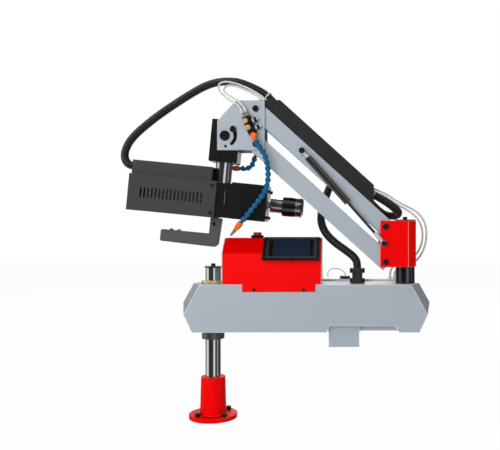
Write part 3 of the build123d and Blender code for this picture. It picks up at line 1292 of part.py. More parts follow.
HEAD_PINS = [arm_pin(x, z, ARM_PIN_D, PLATE_OUT + SEAT_GAP) for x, z in HEAD_PIVOTS]
WASHER_T = 2.5
WASHER_FACES = (
    Plane(origin=(TILT_X, -PLATE_OUT - SEAT_GAP, TILT_Z), x_dir=(1, 0, 0), z_dir=(0, -1, 0)),
    Plane(origin=(TILT_X, PLATE_OUT + SEAT_GAP, TILT_Z), x_dir=(1, 0, 0), z_dir=(0, 1, 0)),
)
TILT_PIECES = [rod(face, TILT_WASHER_D, WASHER_T, TILT_PIN_D + 2 * BOLT_PLAY) for face in WASHER_FACES]
TILT_OUT = PLATE_OUT + WASHER_T + 2 * SEAT_GAP
TILT_PIECES.append(arm_pin(TILT_X, TILT_Z, TILT_PIN_D, TILT_OUT, TILT_HEAD_D, TILT_HEAD_H))
with BuildPart() as head_pins:
    add(HEAD_PINS)
    add(TILT_PIECES)
head_pins.part.label = "head_pins"
export_step(head_pins.part, "parts/head_pins.step")

# ---------------------------------------------------------------- mist valves, their knobs and hoses
VALVE_DOWN = Vector(sin(radians(VALVE_LEAN)), 0, -cos(radians(VALVE_LEAN)))
VALVE_ASIDE = Vector(cos(radians(VALVE_LEAN)), 0, sin(radians(VALVE_LEAN)))
FRONT_VALVE = Vector(TILT_X + VALVE_PAST_TILT, -PLATE_OUT - SEAT_GAP, TILT_Z + VALVE_ABOVE_TILT)
REAR_VALVE_Y = PLATE_OUT + SEAT_GAP + VALVE_DEPTH
REAR_VALVE = Vector(TILT_X + REAR_VALVE_PAST_TILT, REAR_VALVE_Y, TILT_Z + REAR_VALVE_ABOVE_TILT)
VALVE_MIDDLE = Vector(0, -VALVE_DEPTH / 2, 0)
VALVE_END = VALVE_LENGTH / 2 + SEAT_GAP


def valve_block(back_centre):
    """A leaning valve block in front of a point."""
    face = Plane(origin=back_centre, x_dir=VALVE_ASIDE, z_dir=(0, -1, 0))
    with BuildPart() as block:
        with BuildSketch(face):
            Rectangle(VALVE_WIDTH, VALVE_LENGTH)
        extrude(amount=VALVE_DEPTH)
        chamfer(block.faces().sort_by(Axis.Y)[0].edges(), 1)
    return block.part


def valve_fittings(back_centre):
    """The two nickel fittings on a valve block's upper end."""
    pieces = []
    for side in (-1, 1):
        foot = back_centre + VALVE_MIDDLE - VALVE_DOWN * VALVE_END + VALVE_ASIDE * side * FITTING_SPREAD
        upwards = Plane(origin=foot, x_dir=(0, 1, 0), z_dir=VALVE_DOWN * -1)
        pieces.append(rod(upwards, FITTING_D, FITTING_LENGTH))
    return pieces


MIST_PIECES = [valve_block(FRONT_VALVE), valve_block(REAR_VALVE)] + valve_fittings(FRONT_VALVE)
with BuildPart() as mist_valves:
    add(MIST_PIECES)
mist_valves.part.label = "mist_valves"
export_step(mist_valves.part, "parts/mist_valves.step")


def mist_knob(along):
    """A fluted knob standing on the front valve block."""
    valve_front = FRONT_VALVE + Vector(0, -VALVE_DEPTH - PIVOT_GAP, 0)
    foot = valve_front + VALVE_DOWN * along + VALVE_ASIDE * KNOBS_ASIDE
    face = Plane(origin=foot, x_dir=VALVE_ASIDE, z_dir=(0, -1, 0))
    with BuildPart() as knob:
        with BuildSketch(face):
            Circle(KNOB_D / 2)
            with PolarLocations(KNOB_D / 2, KNOB_FLUTES):
                Circle(FLUTE_R, mode=Mode.SUBTRACT)
        extrude(amount=KNOB_H)
        with BuildSketch(face.offset(KNOB_H)):
            Rectangle(KNOB_D * 0.6, KNOB_SLOT)
        extrude(amount=-KNOB_SLOT, mode=Mode.SUBTRACT)
    return knob.part


for knob_name, knob_along in (("mist_knob_upper", KNOBS_ALONG[0]), ("mist_knob_lower", KNOBS_ALONG[1])):
    KNOB = mist_knob(knob_along)
    with BuildPart() as mist_knob_part:
        add(KNOB)
    mist_knob_part.part.label = knob_name
    export_step(mist_knob_part.part, f"parts/{knob_name}.step")

ELBOW_DROP = VALVE_LENGTH / 2 + ELBOW_D / 2 + SEAT_GAP
FRONT_ELBOW = FRONT_VALVE + VALVE_DOWN * ELBOW_DROP
REAR_ELBOW = REAR_VALVE + VALVE_DOWN * ELBOW_DROP
FRONT_HOSE_ROUTE = [
    (90.8, -19.4),
    (98.8, -31.4),
    (108.8, -45.4),
    (116.8, -58.4),
    (121.8, -72.4),
    (124.8, -88.4),
    (126.3, -105.4),
    (126.3, -122.4),
    (124.3, -140.4),
    (118.8, -157.4),
    (108.8, -174.4),
    (86.8, -203.4),
    (67.8, -226.4),
    (49.8, -248.4),
]
REAR_HOSE_ROUTE = [
    (94.8, -30.4),
    (83.8, -38.4),
    (75.8, -47.4),
    (71.3, -59.4),
    (67.8, -71.4),
    (60.8, -80.4),
    (50.8, -85.4),
    (38.8, -85.4),
    (25.8, -84.4),
]


def hose_line(route, y):
    """The smooth line that a segmented hose follows, with its route measured from the tilt axis."""
    return Spline(*[(TILT_X + x, y, TILT_Z + z) for x, z in route])


def segmented_hose(line):
    """A hose of jointed beads: four rings for each bead, all with the same sideways direction, and a bore."""
    count = round(line.length / BEAD_PITCH)
    rings = []
    for index in range(count):
        rings.append((index / count, NECK_D))
        rings.append(((index + 0.2) / count, BEAD_D))
        rings.append(((index + 0.75) / count, BEAD_D))
        rings.append(((index + 0.92) / count, NECK_D))
    rings.append((1, NECK_D))
    with BuildPart() as hose:
        for place, diameter in rings:
            with BuildSketch(Plane(origin=line @ place, x_dir=(0, 1, 0), z_dir=line % place)):
                Circle(diameter / 2)
        loft(ruled=True)
        for index in range(2 * count + 1):
            place = index / (2 * count)
            with BuildSketch(Plane(origin=line @ place, x_dir=(0, 1, 0), z_dir=line % place)):
                Circle(HOSE_BORE_D / 2)
        loft(ruled=True, mode=Mode.SUBTRACT)
    points = [line @ (step / (4 * count)) for step in range(4 * count + 1)]
    apart = [
        (points[low] - points[high]).length - BEAD_D
        for low in range(len(points))
        for high in range(low + 8, len(points))
    ]
    print(f"segmented hose: {count} beads, {line.length:.0f} mm, least gap to itself {min(apart):.1f} mm")
    return hose.part


FRONT_HOSE_LINE = hose_line(FRONT_HOSE_ROUTE, FRONT_HOSE_Y)
REAR_HOSE_LINE = hose_line(REAR_HOSE_ROUTE, REAR_HOSE_Y)
HOSES = [segmented_hose(FRONT_HOSE_LINE), segmented_hose(REAR_HOSE_LINE)]
with BuildPart() as coolant_hoses:
    add(HOSES)
coolant_hoses.part.label = "coolant_hoses"
export_step(coolant_hoses.part, "parts/coolant_hoses.step")


def hose_nozzle(line, length):
    """A tapered nozzle on the free end of a hose."""
    start = Plane(origin=line @ 1 + (line % 1) * SEAT_GAP, x_dir=(0, 1, 0), z_dir=line % 1)
    with BuildPart() as nozzle:
        for share, diameter in ((0, BEAD_D), (0.3, BEAD_D), (0.45, NECK_D), (1, NOZZLE_TIP_D)):
            with BuildSketch(start.offset(length * share)):
                Circle(diameter / 2)
        loft(ruled=True)
        with BuildSketch(start.offset(length)):
            Circle(NOZZLE_TIP_D / 4)
        extrude(amount=-length, mode=Mode.SUBTRACT)
    return nozzle.part


def hose_elbow(elbow, line, y_inner):
    """The round elbow under a valve block, with the spout that the hose starts from."""
    y_hose = (line @ 0).Y
    out = -1 if y_hose < 0 else 1
    reach = abs(y_hose - y_inner) + ELBOW_D / 2
    barrel = Plane(origin=(elbow.X, y_inner, elbow.Z), x_dir=(1, 0, 0), z_dir=(0, out, 0))
    start = line @ 0
    spout_foot = Vector(elbow.X, y_hose, elbow.Z)
    with BuildPart() as piece:
        with BuildSketch(barrel):
            Circle(ELBOW_D / 2)
        extrude(amount=reach)
        with BuildSketch(Plane(origin=spout_foot, x_dir=(0, 1, 0), z_dir=start - spout_foot)):
            Circle(NECK_D / 2)
        extrude(amount=(start - spout_foot).length - 2)
    return piece.part


FITTINGS = [
    hose_elbow(FRONT_ELBOW, FRONT_HOSE_LINE, -PLATE_OUT - SEAT_GAP),
    hose_elbow(REAR_ELBOW, REAR_HOSE_LINE, PLATE_OUT + SEAT_GAP),
    hose_nozzle(FRONT_HOSE_LINE, FRONT_NOZZLE_LENGTH),
    hose_nozzle(REAR_HOSE_LINE, REAR_NOZZLE_LENGTH),
]
with BuildPart() as hose_fittings:
    add(FITTINGS)
hose_fittings.part.label = "hose_fittings"
export_step(hose_fittings.part, "parts/hose_fittings.step")


# ---------------------------------------------------------------- tapping head
def head_slab(s_from, s_to, t_from, t_to, half_width):
    """A block of the head, between two places along the spindle and two down the shaft."""
    with BuildPart() as block:
        with BuildSketch(HEAD.offset(-half_width)):
            with Locations(((s_from + s_to) / 2, -(t_from + t_to) / 2)):
                Rectangle(s_to - s_from, t_to - t_from)
        extrude(amount=2 * half_width)
    return block.part


BLOCK_HALF_WIDTH = PLATE_GAP / 2 - PIVOT_GAP
CLAMP_ANGLE = radians(SLOT_START + HEAD_TILT)
CLAMP_AT = (SLOT_RADIUS * cos(CLAMP_ANGLE), SLOT_RADIUS * sin(CLAMP_ANGLE))
TILT_BLOCK = head_slab(-BLOCK_HALF, BLOCK_HALF, -BLOCK_ABOVE, BLOCK_BELOW, BLOCK_HALF_WIDTH)
with BuildPart() as tilt_block:
    add(TILT_BLOCK)
    chamfer(tilt_block.edges().filter_by(Axis.Y), 2)
    with BuildSketch(head_down(0, SHAFT_START - SEAT_GAP)):
        Circle(SHAFT_D / 2 + RUN_FIT)
    extrude(amount=-BLOCK_BELOW, mode=Mode.SUBTRACT)
    with BuildSketch(HEAD.offset(-BLOCK_HALF_WIDTH)):
        Circle(TILT_PIN_D / 2 + RUN_FIT)
        with Locations(CLAMP_AT):
            Circle(CLAMP_SCREW_D / 2 + RUN_FIT)
    extrude(amount=2 * BLOCK_HALF_WIDTH, mode=Mode.SUBTRACT)
tilt_block.part.label = "tilt_block"
export_step(tilt_block.part, "parts/tilt_block.step")

with BuildPart() as head_shaft:
    with BuildSketch(head_down(0, SHAFT_START)):
        Circle(SHAFT_D / 2)
    extrude(amount=SHAFT_START - SHAFT_END)
    chamfer(head_shaft.edges().filter_by(GeomType.CIRCLE), 1)
head_shaft.part.label = "head_shaft"
export_step(head_shaft.part, "parts/head_shaft.step")

COVER_SCREW_D = 5
COVER_SCREW_HEAD_D = 9
COVER_SCREW_HEAD_H = 3
COVER_SCREW_GRIP = 12
COVER_SCREW_S = -19
COVER_SCREW_OFF = 39
COVER_SCREWS_AT = [(COVER_SCREW_S, SPINDLE_T + off) for off in (-COVER_SCREW_OFF, COVER_SCREW_OFF)]
NECK_BLOCK = head_slab(
    NECK_BLOCK_LEFT, NECK_BLOCK_RIGHT, NECK_BLOCK_TOP, NECK_BLOCK_BOTTOM, NECK_BLOCK_HALF_WIDTH
)
with BuildPart() as clamp_block:
    add(NECK_BLOCK)
    chamfer(clamp_block.edges().filter_by(lambda e: abs(e.tangent_at(0).dot(HEAD.y_dir)) > 0.99), 2)
    with BuildSketch(head_down(0, NECK_BLOCK_TOP)):
        Circle(SHAFT_D / 2 + RUN_FIT)
    extrude(amount=NECK_BLOCK_TOP - SHAFT_END - 1, mode=Mode.SUBTRACT)
    with BuildSketch(head_along(NECK_BLOCK_LEFT, SPINDLE_T)):
        Circle(COUPLING_BORE_D / 2)
    extrude(amount=NECK_BLOCK_RIGHT - NECK_BLOCK_LEFT, mode=Mode.SUBTRACT)
    with BuildSketch(HEAD.offset(-NECK_BLOCK_HALF_WIDTH)):
        with Locations([(s, -t) for s, t in COVER_SCREWS_AT]):
            Circle(COVER_SCREW_D / 2 + RUN_FIT)
    extrude(amount=2 * NECK_BLOCK_HALF_WIDTH, mode=Mode.SUBTRACT)
clamp_block.part.label = "clamp_block"
export_step(clamp_block.part, "parts/clamp_block.step")

MOTOR_COVER_OUTSIDE = head_slab(
    MOTOR_COVER_LEFT, MOTOR_COVER_RIGHT, MOTOR_COVER_TOP, MOTOR_COVER_BOTTOM, MOTOR_COVER_HALF_WIDTH
)
MOTOR_COVER_INSIDE = head_slab(
    MOTOR_COVER_LEFT + SHEET_T,
    MOTOR_COVER_RIGHT + 1,
    MOTOR_COVER_TOP + SHEET_T,
    MOTOR_COVER_BOTTOM - SHEET_T,
    MOTOR_COVER_HALF_WIDTH - SHEET_T,
)
VENT_T = SPINDLE_T - VENTS_ABOVE_SPINDLE
VENTS_AT = [(VENT_FIRST + VENT_PITCH * index, -VENT_T) for index in range(VENT_COUNT)]
with BuildPart() as motor_cover:
    add(MOTOR_COVER_OUTSIDE)
    add(MOTOR_COVER_INSIDE, mode=Mode.SUBTRACT)
    with BuildSketch(HEAD.offset(-MOTOR_COVER_HALF_WIDTH)):
        with Locations(VENTS_AT):
            SlotOverall(VENT_LENGTH, VENT_WIDTH, rotation=90)
        with Locations([(s, -t) for s, t in COVER_SCREWS_AT]):
            Circle(COVER_SCREW_D / 2 + BOLT_PLAY)
    extrude(amount=2 * MOTOR_COVER_HALF_WIDTH, mode=Mode.SUBTRACT)
    with BuildSketch(head_down(0, MOTOR_COVER_TOP)):
        Circle(SHAFT_D / 2 + BOLT_PLAY)
    extrude(amount=-2 * SHEET_T, mode=Mode.SUBTRACT)
motor_cover.part.label = "motor_cover"
export_step(motor_cover.part, "parts/motor_cover.step")

CABLE_BOX_BOTTOM = MOTOR_COVER_TOP - SEAT_GAP
CABLE_BOX_OUTSIDE = head_slab(
    CABLE_BOX_LEFT, CABLE_BOX_RIGHT, CABLE_BOX_TOP, CABLE_BOX_BOTTOM, CABLE_BOX_HALF_WIDTH
)
CABLE_BOX_INSIDE = head_slab(
    CABLE_BOX_LEFT + SHEET_T,
    CABLE_BOX_RIGHT - SHEET_T,
    CABLE_BOX_TOP + SHEET_T,
    CABLE_BOX_BOTTOM + 1,
    CABLE_BOX_HALF_WIDTH - SHEET_T,
)
with BuildPart() as cable_box:
    add(CABLE_BOX_OUTSIDE)
    add(CABLE_BOX_INSIDE, mode=Mode.SUBTRACT)
cable_box.part.label = "cable_box"
export_step(cable_box.part, "parts/cable_box.step")

MOTOR_FACE = NECK_BLOCK_LEFT - SEAT_GAP
with BuildPart() as servo_motor:
    with BuildSketch(head_along(MOTOR_FACE, SPINDLE_T)):
        RectangleRounded(MOTOR_SIDE, MOTOR_SIDE, MOTOR_CORNER)
    extrude(amount=-MOTOR_LENGTH)
    with BuildSketch(head_along(MOTOR_FACE, SPINDLE_T)):
        Circle(MOTOR_SHAFT_D / 2)
    extrude(amount=-MOTOR_FACE)
servo_motor.part.label = "servo_motor"
export_step(servo_motor.part, "parts/servo_motor.step")

SPINDLE_BEARING_D = 62
SPINDLE_BEARING_T = 14
GEAR_CASE_LEFT = NECK_BLOCK_RIGHT + SEAT_GAP
CASE_SCREW_D = 6
CASE_SCREW_HEAD_D = 10
CASE_SCREW_DEPTH = 20
CASE_SCREW_OFF = 38
GEAR_CASE = head_slab(
    GEAR_CASE_LEFT, GEAR_CASE_RIGHT, GEAR_CASE_TOP, GEAR_CASE_BOTTOM, GEAR_CASE_HALF_WIDTH
)
with BuildPart() as gear_case:
    add(GEAR_CASE)
    chamfer(gear_case.edges(), 1.5)
    with BuildSketch(head_along(GEAR_CASE_LEFT, SPINDLE_T)):
        Circle(SPINDLE_D / 2 + BOLT_PLAY)
    extrude(amount=GEAR_CASE_RIGHT, mode=Mode.SUBTRACT)
    with BuildSketch(head_along(GEAR_CASE_LEFT + GEAR_CASE_WALL, SPINDLE_T)):
        Circle(SPINDLE_BEARING_D / 2 + RUN_FIT)
    extrude(amount=GEAR_CASE_RIGHT - GEAR_CASE_LEFT - 2 * GEAR_CASE_WALL, mode=Mode.SUBTRACT)
    with BuildSketch(head_along(GEAR_CASE_RIGHT, SPINDLE_T)):
        with GridLocations(2 * CASE_SCREW_OFF, 2 * CASE_SCREW_OFF, 2, 2):
            Circle(CASE_SCREW_D / 2 + RUN_FIT)
    extrude(amount=-CASE_SCREW_DEPTH - 1, mode=Mode.SUBTRACT)
gear_case.part.label = "gear_case"
export_step(gear_case.part, "parts/gear_case.step")

BEARING_PLACES = (
    GEAR_CASE_LEFT + GEAR_CASE_WALL + SEAT_GAP,
    GEAR_CASE_RIGHT - GEAR_CASE_WALL - SEAT_GAP - SPINDLE_BEARING_T,
)
SPINDLE_BEARINGS = [
    ball_bearing(head_along(s, SPINDLE_T), SPINDLE_BEARING_D, SPINDLE_D + 2 * RUN_FIT, SPINDLE_BEARING_T)
    for s in BEARING_PLACES
]
with BuildPart() as spindle_bearings:
    add(SPINDLE_BEARINGS)
spindle_bearings.part.label = "spindle_bearings"
export_step(spindle_bearings.part, "parts/spindle_bearings.step")

HANDLE_TOP = MOTOR_COVER_BOTTOM + SEAT_GAP
GRIP_POCKET = 8
with BuildPart() as handle:
    with BuildSketch(HEAD.offset(-HANDLE_HALF_WIDTH)):
        with BuildLine():
            Polyline(
                (HANDLE_INNER, -HANDLE_TOP),
                (HANDLE_RIGHT, -HANDLE_TOP),
                (HANDLE_FOOT, -HANDLE_BOTTOM + HANDLE_CORNER),
                (HANDLE_FOOT - HANDLE_CORNER, -HANDLE_BOTTOM),
                (HANDLE_INNER, -HANDLE_BOTTOM),
                (HANDLE_LEFT + GRIP_CORNER, -GRIP_BOTTOM),
                (HANDLE_LEFT, -GRIP_BOTTOM + GRIP_CORNER),
                (HANDLE_LEFT, -GRIP_TOP - GRIP_CORNER),
                (HANDLE_LEFT + GRIP_CORNER, -GRIP_TOP),
                (HANDLE_INNER, -GRIP_TOP),
                close=True,
            )
        make_face()
    extrude(amount=2 * HANDLE_HALF_WIDTH)
    for button_s in GRIP_BUTTONS_AT:
        with BuildSketch(head_down(button_s, GRIP_TOP)):
            Circle(GRIP_BUTTON_D / 2 + SEAT_GAP)
        extrude(amount=-GRIP_POCKET, mode=Mode.SUBTRACT)
handle.part.label = "handle"
export_step(handle.part, "parts/handle.step")

for button_name, button_s in zip(("grip_button_start", "grip_button_reverse"), GRIP_BUTTONS_AT):
    with BuildPart() as grip_button:
        with BuildSketch(head_down(button_s, GRIP_TOP - GRIP_BUTTON_H)):
            Circle(GRIP_BUTTON_D / 2)
        extrude(amount=-(GRIP_BUTTON_H + GRIP_POCKET - GRIP_BUTTON_TRAVEL - PIVOT_GAP))
        fillet(grip_button.edges().filter_by(GeomType.CIRCLE).sort_by(Axis.Z)[-1], 1)
    grip_button.part.label = button_name
    export_step(grip_button.part, f"parts/{button_name}.step")


def head_side_plane(s, t, side, y):
    """A plane on one side of the head, whose normal points away from the head's middle."""
    return Plane(origin=head_point(s, t, side * y), x_dir=HEAD.x_dir, z_dir=(0, side, 0))


HEAD_SCREWS = []
for side in (-1, 1):
    clamp_seat = head_side_plane(CLAMP_AT[0], -CLAMP_AT[1], side, PLATE_OUT + PIVOT_GAP)
    reach = PLATE_OUT + PIVOT_GAP - BLOCK_HALF_WIDTH + CLAMP_SCREW_GRIP
    HEAD_SCREWS.append(socket_screw(clamp_seat, CLAMP_SCREW_D, reach, CLAMP_HEAD_D, CLAMP_HEAD_H))
    for screw_s, screw_t in COVER_SCREWS_AT:
        cover_seat = head_side_plane(screw_s, screw_t, side, MOTOR_COVER_HALF_WIDTH + SEAT_GAP)
        HEAD_SCREWS.append(
            socket_screw(cover_seat, COVER_SCREW_D, COVER_SCREW_GRIP, COVER_SCREW_HEAD_D, COVER_SCREW_HEAD_H)
        )
for across in (-CASE_SCREW_OFF, CASE_SCREW_OFF):
    for down in (-CASE_SCREW_OFF, CASE_SCREW_OFF):
        case_seat = head_along(GEAR_CASE_RIGHT + SEAT_GAP, SPINDLE_T + down, across)
        HEAD_SCREWS.append(
            socket_screw(case_seat, CASE_SCREW_D, CASE_SCREW_DEPTH, CASE_SCREW_HEAD_D, CASE_SCREW_D)
        )
with BuildPart() as head_screws:
    add(HEAD_SCREWS)
head_screws.part.label = "head_screws"
export_step(head_screws.part, "parts/head_screws.step")

# ---------------------------------------------------------------- spindle and chuck
COUPLING_D = 36
COUPLING_LEFT = -18
SPINDLE_START = 12
NOSE_START = GEAR_CASE_RIGHT + 2
with BuildPart() as spindle:
    with BuildSketch(head_along(COUPLING_LEFT, SPINDLE_T)):
        Circle(COUPLING_D / 2)
    extrude(amount=SPINDLE_START - COUPLING_LEFT)
    with BuildSketch(head_along(SPINDLE_START, SPINDLE_T)):
        Circle(SPINDLE_D / 2)
    extrude(amount=NOSE_START - SPINDLE_START)
    with BuildSketch(head_along(NOSE_START, SPINDLE_T)):
        Circle(SPINDLE_NOSE_D / 2)
    extrude(amount=CHUCK_START + NOSE_DEPTH - NOSE_START)
    with BuildSketch(head_along(COUPLING_LEFT, SPINDLE_T)):
        Circle(MOTOR_SHAFT_D / 2 + SEAT_GAP)
    extrude(amount=1 - COUPLING_LEFT, mode=Mode.SUBTRACT)
spindle.part.label = "spindle"
export_step(spindle.part, "parts/spindle.step")

with BuildPart() as chuck_body:
    with BuildSketch(head_along(CHUCK_START, SPINDLE_T)):
        Circle(CHUCK_D / 2)
    extrude(amount=CHUCK_END - CHUCK_START)
    chamfer(chuck_body.edges().filter_by(GeomType.CIRCLE), 1.5)
    with BuildSketch(head_along(CHUCK_START, SPINDLE_T)):
        Circle(SPINDLE_NOSE_D / 2 + RUN_FIT)
    extrude(amount=NOSE_DEPTH + 1, mode=Mode.SUBTRACT)
    with BuildSketch(head_along(CHUCK_END, SPINDLE_T)):
        Circle(SOCKET_D / 2)
    extrude(amount=-SOCKET_DEPTH, mode=Mode.SUBTRACT)
chuck_body.part.label = "chuck_body"
export_step(chuck_body.part, "parts/chuck_body.step")

COLLAR_BORE_D = CHUCK_D + 4 * RUN_FIT
with BuildPart() as chuck_collar:
    with BuildSketch(head_along(CHUCK_COLLAR_START, SPINDLE_T)):
        Circle(CHUCK_COLLAR_D / 2)
    extrude(amount=CHUCK_COLLAR_END - CHUCK_COLLAR_START)
    COLLAR_RIMS = chuck_collar.edges().filter_by(GeomType.CIRCLE).sort_by(Axis.X)
    chamfer(COLLAR_RIMS[-1], 4)
    chamfer(COLLAR_RIMS[0], 1.5)
    with BuildSketch(head_along(CHUCK_COLLAR_START, SPINDLE_T)):
        Circle(COLLAR_BORE_D / 2)
    extrude(amount=CHUCK_COLLAR_END - CHUCK_COLLAR_START, mode=Mode.SUBTRACT)
    for groove in range(COLLAR_GROOVES):
        with BuildSketch(head_along(CHUCK_COLLAR_END - GROOVE_FIRST - GROOVE_PITCH * groove, SPINDLE_T)):
            Circle(CHUCK_COLLAR_D / 2)
            Circle(CHUCK_COLLAR_D / 2 - GROOVE_DEPTH, mode=Mode.SUBTRACT)
        extrude(amount=-GROOVE_WIDTH, mode=Mode.SUBTRACT)
chuck_collar.part.label = "chuck_collar"
export_step(chuck_collar.part, "parts/chuck_collar.step")


# ---------------------------------------------------------------- conduit and tubes
def cord_tube(name, route, diameter):
    """A tube along straight runs joined by arcs as large as the runs allow."""
    points = [Vector(*point) for point in route]
    radii = []
    for before, corner, after in zip(points, points[1:], points[2:]):
        turn = radians((corner - before).get_angle(after - corner))
        shorter = min((corner - before).length, (after - corner).length)
        radii.append(0.45 * shorter / tan(turn / 2))
    with BuildPart() as tube:
        with BuildLine() as path:
            FilletPolyline(*points, radius=radii)
        line = path.wire()
        with BuildSketch(Plane(origin=line @ 0, z_dir=line % 0)):
            Circle(diameter / 2)
        sweep()
    length = line.length
    share = tube.part.volume / (pi * diameter**2 / 4 * length)
    tight = min(radii) / diameter
    print(f"{name}: {length:.0f} mm, tightest arc {min(radii):.0f} mm = {tight:.1f} diameters")
    print(f"{name}: volume over section times length {share:.4f}")
    return tube.part


CABLE_EXIT_T = CABLE_BOX_TOP + CABLE_EXIT_BELOW_TOP
CONDUIT_START = head_point(CABLE_BOX_LEFT - SEAT_GAP, CABLE_EXIT_T)
CONDUIT_BEHIND = (492.5, 80.5, 599)
GLAND_TOP = BEAM_TOP + SEAT_GAP + GLAND_H
CONDUIT_HEAD_ROUTE = [
    (CONDUIT_START.X, 0, CONDUIT_START.Z),
    (-240, 0, 731.8),
    (-252, 0, 740.5),
    (-258, 0, 755),
    (-257, 0, 773),
    (-247, 0, 797),
    (-228, 0, 821),
    (-201, 0, 845),
    (-165, 0, 874),
    (-114.4, 0, 909),
    (-56.2, 0, 946),
    (-18.3, 0, 966),
    (16.6, 0, 976),
    (60.3, 0, 978),
    (98.2, 0, 967.5),
    (130.2, 0, 951.8),
]
CONDUIT_COVER_ROUTE = [(130.2, 0, 951.8), (154.2, 0, 940.025), (178, 0, 913)]
SHOULDER_CONDUIT_ROUTE = [
    (452, 0, 656),
    (467, 1, 647),
    (490, 5, 635),
    (513, 14, 621),
    (533, 29, 607),
    (545, 49, 596),
    (542, 70, 588),
    (524, 82, 585),
    (502, 83, 592),
    CONDUIT_BEHIND,
]
CONDUIT_LOWER_ROUTE = [
    CONDUIT_BEHIND,
    (483, 78, 606),
    (462, 71, 627),
    (436, 65, 652),
    (405, 60, 678),
    (370, 57, 697),
    (345, 56, 686),
    (333, 56, 660),
    (322, 54, 625),
    (312, 50, 590),
    (314, 44, 559),
    (329, 32, 531),
    (354, 19, 507),
    (381, 9, 488),
    (403, 3, 472),
    (415, 0.5, 459),
    (GLAND_X, 0, 446),
    (GLAND_X, 0, GLAND_TOP),
]
FITTINGS_MIDDLE = FRONT_VALVE + VALVE_MIDDLE - VALVE_DOWN * (VALVE_END + FITTING_LENGTH)
FITTING_ENDS = [FITTINGS_MIDDLE + VALVE_ASIDE * side * FITTING_SPREAD for side in (-1, 1)]
TUBE_EXITS = [end - VALVE_DOWN * FITTING_LENGTH for end in FITTING_ENDS]
FRONT_TUBE_ROUTES = [
    [
        (172, -17, 905),
        (150, -17, 925),
        (126, -17, 942),
        (100, -18, 955),
        (74, -20, 965),
        (50, -24, 971),
        (30, -31, 969),
        (20, -38, 957),
        (25, -44, 940),
        (40, -49, 924),
        (58, -52, 911),
        (75, -53, 903),
        (TUBE_EXITS[0].X, TUBE_EXITS[0].Y, TUBE_EXITS[0].Z),
        (FITTING_ENDS[0].X, FITTING_ENDS[0].Y, FITTING_ENDS[0].Z),
    ],
    [
        (166, -25, 900),
        (145, -25, 919),
        (122, -25, 935),
        (98, -26, 947),
        (75, -28, 956),
        (54, -31, 960),
        (40, -36, 955),
        (36, -42, 942),
        (46, -47, 930),
        (62, -50, 921),
        (80, -52, 911),
        (TUBE_EXITS[1].X, TUBE_EXITS[1].Y, TUBE_EXITS[1].Z),
        (FITTING_ENDS[1].X, FITTING_ENDS[1].Y, FITTING_ENDS[1].Z),
    ],
]
SHOULDER_TUBE_ROUTES = [
    [(452, 18, 671), (480, 19, 661), (508, 22, 648), (535, 28, 630.5), (556, 34, 620)],
    [(452, 25, 664), (480, 26, 654), (507, 30, 640), (531, 35, 624), (552, 42, 613)],
]
PORT_TOP = TANK_TOP + TANK_PORT_H
REAR_TUBE_ROUTES = [
    [
        (556, 34, 620),
        (577, 40, 609.5),
        (600, 49, 597),
        (617, 57, 579),
        (627.5, 63, 556),
        (630.5, 68, 528),
        (627.5, 73, 500),
        (618.5, 78, 473),
        (602, 84, 450),
        (580, 87, 433),
        (559, 88.5, 427),
        (545, TANK_Y, 425),
        (TANK_PORTS_X[1], TANK_Y, PORT_TOP + 14),
        (TANK_PORTS_X[1], TANK_Y, PORT_TOP),
    ],
    [
        (552, 42, 613),
        (573, 49, 602),
        (592, 57, 588),
        (607, 65, 572),
        (617, 71, 551),
        (620, 76, 526),
        (617, 80, 501),
        (608, 84, 478),
        (592, 88, 460),
        (571, 91, 448),
        (549, 91, 441),
        (531, 90, 433),
        (TANK_PORTS_X[0], TANK_Y, PORT_TOP + 15),
        (TANK_PORTS_X[0], TANK_Y, PORT_TOP),
    ],
]
SHOULDER_LINES = [(SHOULDER_CONDUIT_ROUTE, CONDUIT_D)]
SHOULDER_LINES += [(route, TUBE_D) for route in SHOULDER_TUBE_ROUTES]
CORDS = {
    "conduit_head": [(CONDUIT_HEAD_ROUTE, CONDUIT_D)],
    "conduit_cover_end": [(CONDUIT_COVER_ROUTE, CONDUIT_D)],
    "conduit_lower": [(CONDUIT_LOWER_ROUTE, CONDUIT_D)],
    "shoulder_lines": SHOULDER_LINES,
    "tubes_front": [(route, TUBE_D) for route in FRONT_TUBE_ROUTES],
    "tubes_rear": [(route, TUBE_D) for route in REAR_TUBE_ROUTES],
}
for cord_name, strands in CORDS.items():
    TUBES = [cord_tube(cord_name, route, diameter) for route, diameter in strands]
    with BuildPart() as cord:
        add(TUBES)
    cord.part.label = cord_name
    export_step(cord.part, f"parts/{cord_name}.step")
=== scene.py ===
"""Looks of an arm tapping machine: rounded casings, finishes, ribbed conduits, bead hoses and a studio.

Metres. The origin is the middle of the foot's underside, +X runs along the beam and +Z is up.
"""

